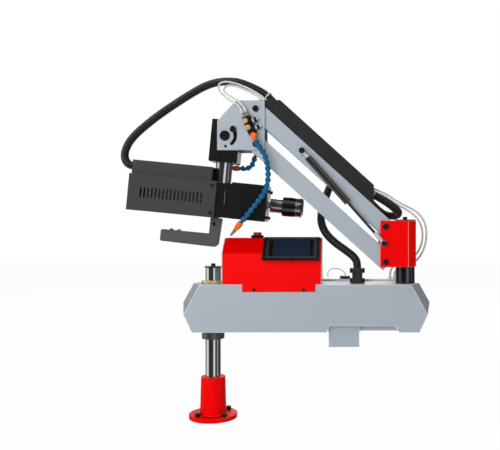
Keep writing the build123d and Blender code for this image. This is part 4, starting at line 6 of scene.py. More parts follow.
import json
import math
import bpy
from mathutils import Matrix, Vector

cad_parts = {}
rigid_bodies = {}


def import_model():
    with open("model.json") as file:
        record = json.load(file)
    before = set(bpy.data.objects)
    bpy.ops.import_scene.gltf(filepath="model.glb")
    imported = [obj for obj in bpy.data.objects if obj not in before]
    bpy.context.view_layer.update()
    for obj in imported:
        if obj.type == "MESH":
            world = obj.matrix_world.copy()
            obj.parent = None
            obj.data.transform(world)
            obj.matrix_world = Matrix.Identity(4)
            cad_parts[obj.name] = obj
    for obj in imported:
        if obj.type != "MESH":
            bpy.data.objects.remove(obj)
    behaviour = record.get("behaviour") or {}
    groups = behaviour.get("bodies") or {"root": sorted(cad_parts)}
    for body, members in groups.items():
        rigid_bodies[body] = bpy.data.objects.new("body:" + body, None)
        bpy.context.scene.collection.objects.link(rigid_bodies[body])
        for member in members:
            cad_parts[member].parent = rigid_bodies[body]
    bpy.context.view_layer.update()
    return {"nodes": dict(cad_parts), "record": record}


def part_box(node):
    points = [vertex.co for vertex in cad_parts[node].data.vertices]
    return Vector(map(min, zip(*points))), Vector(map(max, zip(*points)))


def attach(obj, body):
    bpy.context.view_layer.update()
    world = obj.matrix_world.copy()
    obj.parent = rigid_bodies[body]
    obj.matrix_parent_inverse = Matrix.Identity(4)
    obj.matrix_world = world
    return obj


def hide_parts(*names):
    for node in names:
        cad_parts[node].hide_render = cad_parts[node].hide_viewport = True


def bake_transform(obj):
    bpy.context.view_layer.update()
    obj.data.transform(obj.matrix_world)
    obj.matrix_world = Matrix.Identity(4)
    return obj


bl_info = {
    "name": "Arm tapping machine looks",
    "version": (1, 0, 0),
    "blender": (4, 5, 0),
    "location": "3D View > Sidebar > Tapping arm",
    "description": "Dresses the solids of an arm tapping machine and sets up its studio",
    "category": "Object",
}

import bmesh
import bpy
from bpy.props import FloatProperty, FloatVectorProperty, IntProperty, PointerProperty
from mathutils import Matrix, Vector

for stray in list(bpy.data.objects):
    bpy.data.objects.remove(stray)
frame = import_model()

MM = 0.001
BODY_OF = {
    node: body for body, members in frame["record"]["behaviour"]["bodies"].items() for node in members
}
SLOT_OF = {part["node"]: part["material_slot"] for part in frame["record"]["subparts"]}

# ---------------------------------------------------------------- places

TILT_AXIS = Vector((40.2, 0, 813.4)) * MM
ALONG_HEAD = Vector((0.995396, 0, -0.095846))
DOWN_HEAD = Vector((-0.095846, 0, -0.995396))
CHUCK_LINE = 184
FRONT = Vector((0, -1, 0))
CLAMP_FACE = 47
CLAMP_MARKS_ALONG = 17.5
HANDLE_SCREW = Vector((4.2, -12, 561.6)) * MM
# Where the collar's grooves take nickel as a painted glint: along the chuck line and out from it.
GLINT_GROOVES_ALONG = (212 * MM, 239 * MM)
GLINT_GROOVES_RADIUS = (22 * MM, 27.5 * MM)

FRONT_VALVE = (112, 842)
REAR_VALVE = (133, 827)
VALVE_MIDDLE = Vector((FRONT_VALVE[0], -53.1, FRONT_VALVE[1])) * MM
VALVE_LEAN = math.radians(22.4)
VALVE_DOWN = Vector((math.sin(VALVE_LEAN), 0, -math.cos(VALVE_LEAN)))
VALVE_ASIDE = Vector((math.cos(VALVE_LEAN), 0, math.sin(VALVE_LEAN)))
VALVE_SIDE = 12
# A flow screw's place down the front valve, and its size.
FLOW_SCREWS = ((-8, 1.3), (14, 1.05))
NOZZLE_TIPS = (Vector((66, -72, 536)) * MM, Vector((27, 60, 731)) * MM)
NOZZLE_TIP_LENGTH = 13 * MM

PANEL_UP = Vector((0, 0.782, 0.623))
PANEL_OUT = Vector((0, -0.623, 0.782))
STRIP_THICKNESS = 0.3
SCREEN_BAR = 6
# How far the silver line stands outside the screen, across and up.
LINE_OUTSIDE = (9, 3.5)

GLAND = (419.3, 0)
GLAND_NUTS = (397.8, 426.2)
UPPER_EYE = 27 * MM
LOWER_EYE = 36 * MM
SHOULDER_SPAN = {"start": (0.46, 0, 0.65), "end": (0.545, 0.049, 0.596)}

CONDUIT_HEAD = [
    (-224.08, 0, 730.35), (-240, 0, 731.8), (-252, 0, 740.5), (-258, 0, 755), (-257, 0, 773),
    (-247, 0, 797), (-228, 0, 821), (-201, 0, 845), (-165, 0, 874), (-114.4, 0, 909), (-56.2, 0, 946),
    (-18.3, 0, 966), (16.6, 0, 976), (60.3, 0, 978), (98.2, 0, 967.5), (130.2, 0, 951.8),
]
CONDUIT_COVER = [(130.2, 0, 951.8), (154.2, 0, 940.025), (178, 0, 913)]
CONDUIT_SHOULDER = [
    (452, 0, 656), (467, 1, 647), (490, 5, 635), (513, 14, 621), (533, 29, 607), (545, 49, 596),
    (542, 70, 588), (524, 82, 585), (502, 83, 592), (492.5, 80.5, 599),
]
CONDUIT_LOWER = [
    (492.5, 80.5, 599), (483, 78, 606), (462, 71, 627), (436, 65, 652), (405, 60, 678), (370, 57, 697),
    (345, 56, 686), (333, 56, 660), (322, 54, 625), (312, 50, 590), (314, 44, 559), (329, 32, 531),
    (354, 19, 507), (381, 9, 488), (403, 3, 472), (415, 0.5, 459), (419.3, 0, 446), (419.3, 0, 433.6),
]
CAP_STRAP = [
    (334, 88, 401.5), (331, 88, 411), (338, 88, 423), (355, 88, 428), (374, 88, 423), (386, 88.3, 412),
    (388, 88.5, 403.5),
]
TUBES_SHOULDER = [
    [
        (452, 18, 671), (480, 19, 661), (508, 22, 648), (535, 28, 630.5), (556, 34, 620),
    ],
    [
        (452, 25, 664), (480, 26, 654), (507, 30, 640), (531, 35, 624), (552, 42, 613),
    ],
]
TUBES_FRONT = [
    [
        (172, -17, 905), (150, -17, 925), (126, -17, 942), (100, -18, 955), (74, -20, 965), (50, -24, 971),
        (30, -31, 969), (20, -38, 957), (25, -44, 940), (40, -49, 924), (58, -52, 911), (75, -53, 903),
        (86.11, -53.1, 890.38), (91.44, -53.1, 877.44),
    ],
    [
        (166, -25, 900), (145, -25, 919), (122, -25, 935), (98, -26, 947), (75, -28, 956), (54, -31, 960),
        (40, -36, 955), (36, -42, 942), (46, -47, 930), (62, -50, 921), (80, -52, 911),
        (96.28, -53.1, 894.58), (101.61, -53.1, 881.63),
    ],
]
TUBES_REAR = [
    [
        (556, 34, 620), (577, 40, 609.5), (600, 49, 597), (617, 57, 579), (627.5, 63, 556),
        (630.5, 68, 528), (627.5, 73, 500), (618.5, 78, 473), (602, 84, 450), (580, 87, 433),
        (559, 88.5, 427), (545, 88.5, 425), (535, 88.5, 416), (535, 88.5, 402),
    ],
    [
        (552, 42, 613), (573, 49, 602), (592, 57, 588), (607, 65, 572), (617, 71, 551), (620, 76, 526),
        (617, 80, 501), (608, 84, 478), (592, 88, 460), (571, 91, 448), (549, 91, 441), (531, 90, 433),
        (522, 88.5, 417), (522, 88.5, 402),
    ],
]
HOSE_FRONT = [
    (131, 794), (139, 782), (149, 768), (157, 755), (162, 741), (165, 725), (166.5, 708), (166.5, 691),
    (164.5, 673), (159, 656), (149, 639), (127, 610), (108, 587), (90, 565),
]
HOSE_REAR = [
    (135, 783), (124, 775), (116, 766), (111.5, 754), (108, 742), (101, 733), (91, 728), (79, 728),
    (66, 729),
]
HOSE_FRONT_Y = -72
HOSE_REAR_Y = 60
STRAP = 1.8 * MM
STRAP_BORE = 0.6 * MM

# The rear hose is shorter than six beads are wide, and a declared cord has to be at least six
# diameters long. So both hoses are declared a little thinner than their beads are.
DECLARED_SHARE = 0.98


# ---------------------------------------------------------------- settings


class FinishSettings(bpy.types.PropertyGroup):
    """Colours and surface of the finishes"""

    grey: FloatVectorProperty(
        name="Grey coat",
        description="Colour of the sheet metal",
        subtype="COLOR",
        default=(0.37, 0.42, 0.47),
    )
    red: FloatVectorProperty(
        name="Red coat",
        description="Colour of the box, bracket and foot",
        subtype="COLOR",
        default=(0.88, 0.001, 0.001),
    )
    peel: FloatProperty(
        name="Orange peel", description="Strength of the coat's fine waviness", default=0.18, min=0, max=1
    )
    # Share of the painted highlight colour on coated edges.
    edge_highlight_share: FloatProperty(
        name="Light edges",
        description="How much lighter a coated edge is than its face",
        default=0.55,
        min=0,
        max=1,
    )


class EdgeSettings(bpy.types.PropertyGroup):
    """Rounding of the edges"""

    casing: FloatProperty(
        name="Casing edge", description="Edge radius of sheet casings", default=1.0 * MM, unit="LENGTH"
    )
    machined: FloatProperty(
        name="Machined edge",
        description="Edge radius of turned and milled pieces",
        default=0.4 * MM,
        unit="LENGTH",
    )
    segments: IntProperty(name="Segments", description="Steps across a rounded edge", default=2, min=1, max=4)


class CordSettings(bpy.types.PropertyGroup):
    """Conduits, tubes and bead hoses"""

    conduit: FloatProperty(
        name="Conduit diameter", description="Outer diameter of the conduits", default=24 * MM, unit="LENGTH"
    )
    rib_pitch: FloatProperty(
        name="Rib pitch", description="Distance from rib to rib of a conduit", default=3.2 * MM, unit="LENGTH"
    )
    rib_depth: FloatProperty(
        name="Rib depth", description="Depth between two ribs of a conduit", default=1.3 * MM, unit="LENGTH"
    )
    tube: FloatProperty(
        name="Tube diameter", description="Outer diameter of the clear tubes", default=6 * MM, unit="LENGTH"
    )
    bore: FloatProperty(
        name="Tube bore", description="Bore of the clear tubes", default=4 * MM, unit="LENGTH"
    )
    bead: FloatProperty(
        name="Bead diameter", description="Width of a hose bead", default=16.5 * MM, unit="LENGTH"
    )
    bead_pitch: FloatProperty(
        name="Bead pitch", description="Distance from bead to bead", default=16.4 * MM, unit="LENGTH"
    )


class TrimSettings(bpy.types.PropertyGroup):
    """Small trim"""

    knurl_count: IntProperty(
        name="Knurl", description="Flutes round the chuck's collar", default=64, min=12, max=120
    )
    knurl_height: FloatProperty(
        name="Knurl height", description="Height of the collar's flutes", default=0.45 * MM, unit="LENGTH"
    )
    line_width: FloatProperty(
        name="Panel line", description="Width of the line round the screen", default=0.9 * MM, unit="LENGTH"
    )
    tie_width: FloatProperty(
        name="Cable tie", description="Width of a cable tie", default=3.6 * MM, unit="LENGTH"
    )


class StudioSettings(bpy.types.PropertyGroup):
    """Floor, light and camera"""

    focal: FloatProperty(
        name="Focal length", description="Lens of the camera, in millimetres", default=48.456
    )
    key: FloatProperty(
        name="Key", description="Power of the soft front light", default=78.0, unit="POWER"
    )
    fill: FloatProperty(
        name="Fill", description="Power of the soft light from behind", default=60.0, unit="POWER"
    )
    glint: FloatProperty(
        name="Glint", description="Power of the small lamp for highlights", default=45.0, unit="POWER"
    )
    ambient: FloatProperty(name="Ambient", description="Light from all sides", default=0.26, min=0)


# ---------------------------------------------------------------- nodes


def put(tree, kind, inputs=(), **settings):
    """A node in the tree, with its inputs linked or set by index or name."""
    added = tree.nodes.new(kind)
    for key, value in settings.items():
        setattr(added, key, value)
    for key, value in dict(inputs).items():
        if isinstance(value, bpy.types.NodeSocket):
            tree.links.new(value, added.inputs[key])
        else:
            added.inputs[key].default_value = value
    return added


def maths(tree, operation, *values):
    """The result of an operation on numbers or sockets."""
    return put(tree, "ShaderNodeMath", dict(enumerate(values)), operation=operation).outputs[0]


def mapped(tree, value, low, high, to_low=0.0, to_high=1.0):
    """A value moved from one range to another and kept in it."""
    inputs = {"Value": value, "From Min": low, "From Max": high, "To Min": to_low, "To Max": to_high}
    return put(tree, "ShaderNodeMapRange", inputs).outputs["Result"]


def mixed(tree, share, first, second):
    """The colour that lies that share of the way from the first to the second."""
    first_colour, second_colour, result = 6, 7, 2
    inputs = {0: share, first_colour: first, second_colour: second}
    return put(tree, "ShaderNodeMix", inputs, data_type="RGBA").outputs[result]


def either(tree, share, first, second):
    """The first shader, or the second where the share is one."""
    return put(tree, "ShaderNodeMixShader", {0: share, 1: first, 2: second}).outputs[0]


def grey(bright):
    """A grey as a colour with alpha."""
    return (bright, bright, bright, 1)


# ---------------------------------------------------------------- finishes

# The edge colour in a look is a painted highlight along its rounded edges; None leaves the edges plain.
PLAIN_LOOK = dict(
    rough=0.35, metal=0.0, vary=0.15, fine=900, bump=0.1, shine=0.5, coat=0.0, glow=0.0,
    ior=1.5, stretch=(1, 1, 1), edge_bevel_and_highlight=None,
)
LOOKS = {
    "red_paint": dict(colour="red", rough=0.34, vary=0.02, bump="peel", edge_bevel_and_highlight=(1.0, 0.22, 0.2), shine=0.05),
    "grey_paint": dict(
        colour="grey", rough=0.45, vary=0.025, fine=1100, bump="peel", edge_bevel_and_highlight=(0.75, 0.8, 0.86),
    ),
    "black_paint": dict(
        colour=(0.038, 0.038, 0.042), rough=0.6, vary=0.12,
        fine=430, bump=0.9, edge_bevel_and_highlight=(0.13, 0.13, 0.135), shine=0.3,
    ),
    "black_casting": dict(
        colour=(0.006, 0.006, 0.007), rough=0.3, fine=1500, bump=0.12, edge_bevel_and_highlight=(0.05, 0.05, 0.05),
    ),
    "black_steel": dict(colour=(0.02, 0.02, 0.022), rough=0.33, metal=0.55, vary=0.2, fine=1400),
    "ground_steel": dict(
        colour=(0.62, 0.62, 0.63), rough=0.16, metal=1.0,
        vary=0.05, fine=260, bump=0.07, stretch=(1, 1, 14),
    ),
    "bronze": dict(colour=(0.8, 0.6, 0.34), rough=0.34, metal=0.65, vary=0.06, fine=500, bump=0.06),
    "brass": dict(colour=(0.8, 0.54, 0.2), rough=0.34, metal=0.6, vary=0.06, fine=700, bump=0.06),
    "nickel": dict(colour=(0.8, 0.78, 0.73), rough=0.14, metal=1.0, vary=0.04, fine=600, bump=0.04),
    "bright_nickel": dict(colour=(0.82, 0.8, 0.76), rough=0.36, metal=0.6, vary=0.05, fine=600, bump=0.05),
    "black_plastic": dict(colour=(0.022, 0.022, 0.024), rough=0.42, vary=0.12, fine=1600, bump=0.18),
    "grey_plastic": dict(
        colour=(0.062, 0.064, 0.064), rough=0.55, vary=0.06, fine=1900, bump=0.35, edge_bevel_and_highlight=(0.14, 0.14, 0.14),
    ),
    "cover_black": dict(
        colour=(0.011, 0.011, 0.012), rough=0.5, fine=430, bump=0.8, edge_bevel_and_highlight=(0.09, 0.09, 0.09),
    ),
    "dark_chrome": dict(colour=(0.42, 0.42, 0.43), rough=0.24, metal=1.0, vary=0.08, fine=600, bump=0.05),
    "gloss_black": dict(colour=(0.008, 0.008, 0.009), rough=0.14, bump=0.03, shine=1.0, coat=0.5),
    "blued_steel": dict(colour=(0.11, 0.11, 0.12), rough=0.24, metal=1.0, vary=0.12, bump=0.08),
    "burnished": dict(colour=(0.13, 0.13, 0.125), rough=0.36, metal=0.8, bump=0.15),
    # Light finishes for bevelled rims: painted edge highlights on the beam and the bracket.
    "grey_edge": dict(colour=(0.86, 0.88, 0.9), vary=0.03),
    "red_edge": dict(colour=(0.9, 0.2, 0.18), vary=0.03),
    "panel_black": dict(colour=(0.006, 0.006, 0.007), rough=0.45, fine=1600, bump=0.15, shine=0.2),
    "screen_glass": dict(colour=(0.009, 0.019, 0.04), rough=0.22, vary=0.1, fine=60, bump=0.02, shine=0.15),
    "screen_border": dict(
        colour=(0.002, 0.002, 0.003), rough=0.25, vary=0.1, fine=60, bump=0.02, shine=0.15,
    ),
    "motor_metal": dict(colour=(0.05, 0.05, 0.055), rough=0.4, metal=0.5, vary=0.1),
    "white_plastic": dict(colour=(0.72, 0.72, 0.7), rough=0.4, vary=0.03, fine=700, bump=0.12),
    "red_plastic": dict(colour=(0.36, 0.012, 0.014), vary=0.08, bump=0.12),
    "green_plastic": dict(colour=(0.05, 0.12, 0.05), vary=0.08, bump=0.12),
    "blue_plastic": dict(colour=(0.001, 0.11, 0.25), rough=0.16, vary=0.07, fine=700, bump=0.04, shine=0.3),
    "orange_plastic": dict(colour=(0.9, 0.12, 0.006), rough=0.3, vary=0.05, fine=700, bump=0.08, shine=0.3),
    "tan_metal": dict(colour=(0.3, 0.24, 0.12), metal=0.6, vary=0.1, fine=700, bump=0.08),
    "conduit_plastic": dict(colour=(0.012, 0.012, 0.012), rough=0.34, vary=0.12, fine=1200),
    "white_tie": dict(colour=(0.58, 0.57, 0.54), rough=0.45, vary=0.03, fine=800),
    "clear_tube": dict(colour=(0.8, 0.8, 0.79), vary=0.02, fine=300, bump=0.0, glow=0.3, ior=1.2),
    "panel_line": dict(colour=(0.42, 0.43, 0.45), rough=0.3, metal=0.8, vary=0.04, fine=600, bump=0.03),
    "grey_mark": dict(colour=(0.17, 0.17, 0.17), rough=0.4, metal=0.4, vary=0.06, bump=0.08),
}
CLOUD_SCALE = 14.0
RELIEF_HEIGHT = 0.15 * MM
# How far in from an edge the painted highlight reaches.
EDGE_HIGHLIGHT_RADIUS = 1.4 * MM


def finish(name):
    """The procedural material of that name, made when it is first asked for."""
    made = bpy.data.materials.get("look_" + name)
    if made:
        return made
    look = {**PLAIN_LOOK, **LOOKS[name]}
    settings = bpy.context.scene.tapper_finish
    colour = look["colour"]
    colour = tuple(getattr(settings, colour)) if isinstance(colour, str) else colour
    strength = settings.peel if look["bump"] == "peel" else look["bump"]
    made = bpy.data.materials.new("look_" + name)
    made.use_nodes = True
    made.diffuse_color = (*colour, 1)
    tree = made.node_tree
    shader = tree.nodes["Principled BSDF"]
    for socket, value in (
        ("Base Color", (*colour, 1)),
        ("Metallic", look["metal"]),
        ("Roughness", look["rough"]),
        ("Coat Weight", look["coat"]),
        ("Transmission Weight", look["glow"]),
        ("IOR", look["ior"]),
        ("Specular IOR Level", look["shine"]),
    ):
        shader.inputs[socket].default_value = value
    place = put(tree, "ShaderNodeTexCoord").outputs["Object"]
    stretched = put(tree, "ShaderNodeMapping", {"Vector": place, "Scale": look["stretch"]}).outputs[0]
    cloud_inputs = {"Vector": place, "Scale": CLOUD_SCALE, "Detail": 3.0}
    cloud = put(tree, "ShaderNodeTexNoise", cloud_inputs).outputs["Fac"]
    grain_inputs = {"Vector": stretched, "Scale": look["fine"], "Detail": 2.0}
    grain = put(tree, "ShaderNodeTexNoise", grain_inputs).outputs["Fac"]
    tones = [[min(1, part * share) for part in colour] for share in (1 - look["vary"], 1 + look["vary"])]
    shown = mixed(tree, cloud, (*tones[0], 1), (*tones[1], 1))
    # Painted highlight: towards an edge, where the rounded normal parts from the face's normal, the colour
    # turns to the look's edge colour.
    if look["edge_bevel_and_highlight"] and settings.edge_highlight_share > 0:
        rounded_off = put(tree, "ShaderNodeBevel", {"Radius": EDGE_HIGHLIGHT_RADIUS}, samples=4).outputs["Normal"]
        straight = put(tree, "ShaderNodeNewGeometry").outputs["Normal"]
        inputs = {0: rounded_off, 1: straight}
        likeness = put(tree, "ShaderNodeVectorMath", inputs, operation="DOT_PRODUCT").outputs["Value"]
        edge = mapped(tree, likeness, 0.9, 0.995, settings.edge_highlight_share, 0.0)
        shown = mixed(tree, edge, shown, (*look["edge_bevel_and_highlight"], 1))
    gloss = mapped(tree, cloud, 0.3, 0.7, look["rough"] * 0.85, look["rough"] * 1.15)
    tree.links.new(shown, shader.inputs["Base Color"])
    tree.links.new(gloss, shader.inputs["Roughness"])
    if strength > 0:
        inputs = {"Strength": strength, "Distance": RELIEF_HEIGHT, "Height": grain}
        relief = put(tree, "ShaderNodeBump", inputs).outputs["Normal"]
        tree.links.new(relief, shader.inputs["Normal"])
    return made


# ---------------------------------------------------------------- meshes

CORNER_ANGLE = math.radians(32)
SHARP_ANGLE = math.radians(35)
SPIKE = 0.15 * MM
LEAST_RADIUS = 0.05 * MM


def linked(name, data):
    """A new object in the scene, of a mesh, a curve, a lamp or a camera."""
    piece = bpy.data.objects.new(name, data)
    bpy.context.scene.collection.objects.link(piece)
    return piece


def settled(piece):
    """The piece with what its modifiers make of it as its own plain mesh."""
    ready = piece.evaluated_get(bpy.context.evaluated_depsgraph_get())
    mesh = bpy.data.meshes.new_from_object(ready)
    mesh.name = piece.name
    piece.modifiers.clear()
    piece.data = mesh
    return piece


def coated(piece, looks, pick=None):
    """The piece in these finishes, with the finish of each face picked by its centre and normal."""
    piece.data.materials.clear()
    for look in looks:
        piece.data.materials.append(finish(look))
    for face in piece.data.polygons:
        face.material_index = int(pick(face.center, face.normal)) if pick else 0
    return piece


def riding(piece, body):
    """The piece on that body."""
    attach(piece, body)
    return piece


def trimmed(name, mesh, look, body):
    """A piece of trim of that mesh in one finish, on a body."""
    return riding(coated(linked(name, mesh), [look]), body)


def meshed(name, shape, smooth=True):
    """The mesh of a finished shape, smooth between its corners."""
    mesh = bpy.data.meshes.new(name)
    shape.to_mesh(mesh)
    shape.free()
    if smooth:
        mesh.shade_smooth()
        mesh.set_sharp_from_angle(angle=SHARP_ANGLE)
    return mesh


def rounded(mesh):
    """A plain copy of a solid's mesh with its corners joined and its flat faces whole."""
    shape = bmesh.new()
    shape.from_mesh(mesh)
    bmesh.ops.remove_doubles(shape, verts=shape.verts, dist=3e-6)
    bmesh.ops.dissolve_limit(
        shape,
        angle_limit=math.radians(0.4),
        use_dissolve_boundaries=False,
        verts=shape.verts,
        edges=shape.edges,
    )
    bmesh.ops.dissolve_degenerate(shape, dist=1e-6, edges=shape.edges)
    bmesh.ops.recalc_face_normals(shape, faces=shape.faces)
    plain = meshed(mesh.name + "_look", shape, smooth=False)
    plain.shade_smooth()
    plain.set_sharp_from_angle(angle=CORNER_ANGLE)
    return plain


def dressed(node, radius, *looks, pick=None, edge=None):
    """A coated copy of a solid that stands for it, with a light finish on its rounded edges as a painted
    highlight if asked.

    The radius is halved while a rounded edge leaves a spike outside the solid's box. Under the least
    radius the edges stay sharp. A spike that stays inside the box isn't found.
    """
    settings = bpy.context.scene.tapper_edges
    piece = linked(node + "_look", rounded(frame["nodes"][node].data))
    low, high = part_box(node)
    while len(piece.data.materials) < 2:
        piece.data.materials.append(finish(SLOT_OF[node]))
    while radius > LEAST_RADIUS:
        sharp = piece.data
        edges = piece.modifiers.new("Edges", "BEVEL")
        edges.width = radius
        edges.segments = settings.segments
        edges.limit_method = "ANGLE"
        edges.angle_limit = CORNER_ANGLE
        edges.use_clamp_overlap = False
        edges.harden_normals = True
        edges.material = 1 if edge else -1
        settled(piece)
        spike = max(
            max(low[side] - vertex.co[side], vertex.co[side] - high[side])
            for vertex in piece.data.vertices
            for side in range(3)
        )
        if spike < SPIKE:
            break
        piece.data = sharp
        radius *= 0.5
    if len(piece.data.polygons) < 4:
        raise RuntimeError(f"{node} lost its faces")
    # Rim faces of the bevel, which take the painted edge highlight finish.
    highlight_rims = [face.index for face in piece.data.polygons if face.material_index == 1]
    coated(piece, looks or (SLOT_OF[node],), pick)
    if edge:
        piece.data.materials.append(finish(edge))
        for face in highlight_rims:
            piece.data.polygons[face].material_index = len(piece.data.materials) - 1
    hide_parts(node)
    return riding(piece, BODY_OF[node])


def cased(node, *looks, share=1, **options):
    """A piece of sheet or casting, dressed with a share of the casings' edge radius."""
    return dressed(node, share * bpy.context.scene.tapper_edges.casing, *looks, **options)


def machined(node, *looks, share=1, **options):
    """A turned or milled piece, dressed with a share of the machined edge radius."""
    return dressed(node, share * bpy.context.scene.tapper_edges.machined, *looks, **options)


def split(piece, name, test):
    """The faces of a piece whose centres pass the test, as a piece of their own on the same body."""
    apart = linked(name, piece.data.copy())
    for mesh, wanted in ((apart.data, False), (piece.data, True)):
        shape = bmesh.new()
        shape.from_mesh(mesh)
        gone = [face for face in shape.faces if test(face.calc_center_median()) == wanted]
        bmesh.ops.delete(shape, geom=gone, context="FACES")
        shape.to_mesh(mesh)
        shape.free()
    return apart


def lathe(profile, steps=32, closed=False, place=None):
    """A mesh turned round Z from (radius, height) pairs in millimetres, stood at a place."""
    shape = bmesh.new()
    rings = []
    for radius, height in profile:
        if radius == 0:
            rings.append([shape.verts.new((0, 0, height * MM))])
            continue
        turns = [2 * math.pi * step / steps for step in range(steps)]
        spots = [(radius * MM * math.cos(a), radius * MM * math.sin(a), height * MM) for a in turns]
        rings.append([shape.verts.new(spot) for spot in spots])
    pairs = list(zip(rings, rings[1:]))
    if closed:
        pairs.append((rings[-1], rings[0]))
    for low, high in pairs:
        for step in range(steps):
            after = (step + 1) % steps
            corners = [low[step % len(low)], low[after % len(low)]]
            corners += [high[after % len(high)], high[step % len(high)]]
            shape.faces.new(list(dict.fromkeys(corners)))
    bmesh.ops.recalc_face_normals(shape, faces=shape.faces)
    mesh = meshed("turned", shape)
    if place is not None:
        mesh.transform(place)
    return mesh


def block(centre, axes, sizes):
    """A box mesh: its middle, three directions and three sizes in millimetres."""
    shape = bmesh.new()
    bmesh.ops.create_cube(shape, size=1)
    turn = Matrix([axis.normalized() for axis in axes]).transposed().to_4x4()
    scale = Matrix.Diagonal((*[size * MM for size in sizes], 1))
    bmesh.ops.transform(shape, matrix=Matrix.Translation(centre) @ turn @ scale, verts=shape.verts)
    edge_bevel_and_highlight = min(sizes) * 0.15 * MM
    bmesh.ops.bevel(shape, geom=shape.edges[:], offset=edge_bevel_and_highlight, segments=1, affect="EDGES", profile=0.5)
    bmesh.ops.recalc_face_normals(shape, faces=shape.faces)
    return meshed("block", shape, smooth=False)


def pointed(origin, direction):
    """The matrix that stands a turned piece at a point, along a direction."""
    return Matrix.Translation(origin) @ Vector(direction).to_track_quat("Z", "Y").to_matrix().to_4x4()


def joined(name, meshes):
    """One mesh of several that are in their places."""
    shape = bmesh.new()
    for mesh in meshes:
        shape.from_mesh(mesh)
    return meshed(name, shape)


# ---------------------------------------------------------------- geometry nodes


def node_group(name, inputs, fill):
    """The node group of that name, made when it is first asked for.

    It has these (name, kind, default) inputs and a finish. What fill makes of them is realized,
    takes the finish and is put out.
    """
    group = bpy.data.node_groups.get(name)
    if group:
        return group
    group = bpy.data.node_groups.new(name, "GeometryNodeTree")
    for label, kind, default in (("Geometry", "Geometry", None), *inputs, ("Finish", "Material", None)):
        socket = group.interface.new_socket(name=label, in_out="INPUT", socket_type="NodeSocket" + kind)
        if default is not None:
            socket.default_value = default
    group.interface.new_socket(name="Geometry", in_out="OUTPUT", socket_type="NodeSocketGeometry")
    given = group.nodes.new("NodeGroupInput").outputs
    whole = put(group, "GeometryNodeRealizeInstances", {0: fill(group, given)})
    coat = put(group, "GeometryNodeSetMaterial", {"Geometry": whole.outputs[0], "Material": given["Finish"]})
    put(group, "NodeGroupOutput", {0: coat.outputs[0]})
    return group


def grown(piece, group, **values):
    """The piece with the group's result as its plain mesh."""
    modifier = piece.modifiers.new(group.name, "NODES")
    modifier.node_group = group
    for item in group.interface.items_tree:
        if item.in_out == "INPUT" and item.name in values:
            modifier[item.identifier] = values[item.name]
    bpy.context.view_layer.update()
    return settled(piece)


def traced(group, given, step):
    """The curve of the edges of the mesh that a group is given, with a point at every step."""
    line = put(group, "GeometryNodeMeshToCurve", {"Mesh": given["Geometry"]}).outputs[0]
    return put(group, "GeometryNodeResampleCurve", {"Curve": line, "Length": step}, mode="LENGTH").outputs[0]


def swept(group, line, radius, sides):
    """A closed round skin of that radius along a curve."""
    circle = put(group, "GeometryNodeCurvePrimitiveCircle", {"Resolution": sides, "Radius": 1.0}).outputs[0]
    inputs = {"Curve": line, "Profile Curve": circle, "Scale": radius, "Fill Caps": True}
    return put(group, "GeometryNodeCurveToMesh", inputs).outputs[0]


def scattered(group, points, shape, rotation):
    """A shape at each point, turned."""
    inputs = {"Points": points, "Instance": shape, "Rotation": rotation}
    return put(group, "GeometryNodeInstanceOnPoints", inputs).outputs[0]


def facing(group, direction, axis):
    """The turn that points an axis along a direction."""
    return put(group, "FunctionNodeAlignRotationToVector", {"Vector": direction}, axis=axis).outputs[0]


def conduit_group():
    """Ribbed conduit along the edges of the mesh it is given."""
    steps_a_rib = 6.0

    def fill(group, given):
        line = traced(group, given, maths(group, "DIVIDE", given["Pitch"], steps_a_rib))
        along = put(group, "GeometryNodeSplineParameter").outputs["Length"]
        turns = maths(group, "DIVIDE", along, given["Pitch"])
        wave = maths(group, "COSINE", maths(group, "MULTIPLY", turns, 2 * math.pi))
        share = maths(group, "MULTIPLY_ADD", wave, -0.5, 0.5)
        cut = maths(group, "MULTIPLY", maths(group, "POWER", share, 2.0), given["Depth"])
        half = maths(group, "MULTIPLY", given["Diameter"], 0.5)
        return swept(group, line, maths(group, "SUBTRACT", half, cut), 28)

    inputs = [("Diameter", "Float", 0.024), ("Pitch", "Float", 0.003), ("Depth", "Float", 0.001)]
    return node_group("ribbed_conduit", inputs, fill)


def tube_group():
    """A plain tube with its bore along the edges of the mesh it is given."""

    def fill(group, given):
        line = traced(group, given, 2 * MM)
        outer, inner = (
            swept(group, line, maths(group, "MULTIPLY", given[size], 0.5), 20)
            for size in ("Diameter", "Bore")
        )
        both = put(group, "GeometryNodeJoinGeometry")
        group.links.new(put(group, "GeometryNodeFlipFaces", {"Mesh": inner}).outputs[0], both.inputs[0])
        group.links.new(outer, both.inputs[0])
        return both.outputs[0]

    return node_group("clear_tube", [("Diameter", "Float", 0.006), ("Bore", "Float", 0.004)], fill)


def bead_group():
    """Beads threaded along the edges of the mesh it is given, each turned along the line."""

    def fill(group, given):
        line = put(group, "GeometryNodeMeshToCurve", {"Mesh": given["Geometry"]}).outputs[0]
        span = put(group, "GeometryNodeTrimCurve", {"Curve": line}, mode="FACTOR")
        numbers = [socket for socket in span.inputs if socket.type == "VALUE"]
        shares = [socket for socket in numbers if socket.name in ("Start", "End")]
        group.links.new(given["Margin"], shares[0])
        group.links.new(maths(group, "SUBTRACT", 1.0, given["Margin"]), shares[1])
        inputs = {"Curve": span.outputs[0], "Count": given["Beads"]}
        dots = put(group, "GeometryNodeResampleCurve", inputs).outputs[0]
        turned = facing(group, put(group, "GeometryNodeInputTangent").outputs[0], "Z")
        bead = put(group, "GeometryNodeObjectInfo", {"Object": given["Bead"]}).outputs["Geometry"]
        return scattered(group, dots, bead, turned)

    inputs = [("Beads", "Int", 16), ("Margin", "Float", 0.03), ("Bead", "Object", None)]
    return node_group("bead_hose", inputs, fill)


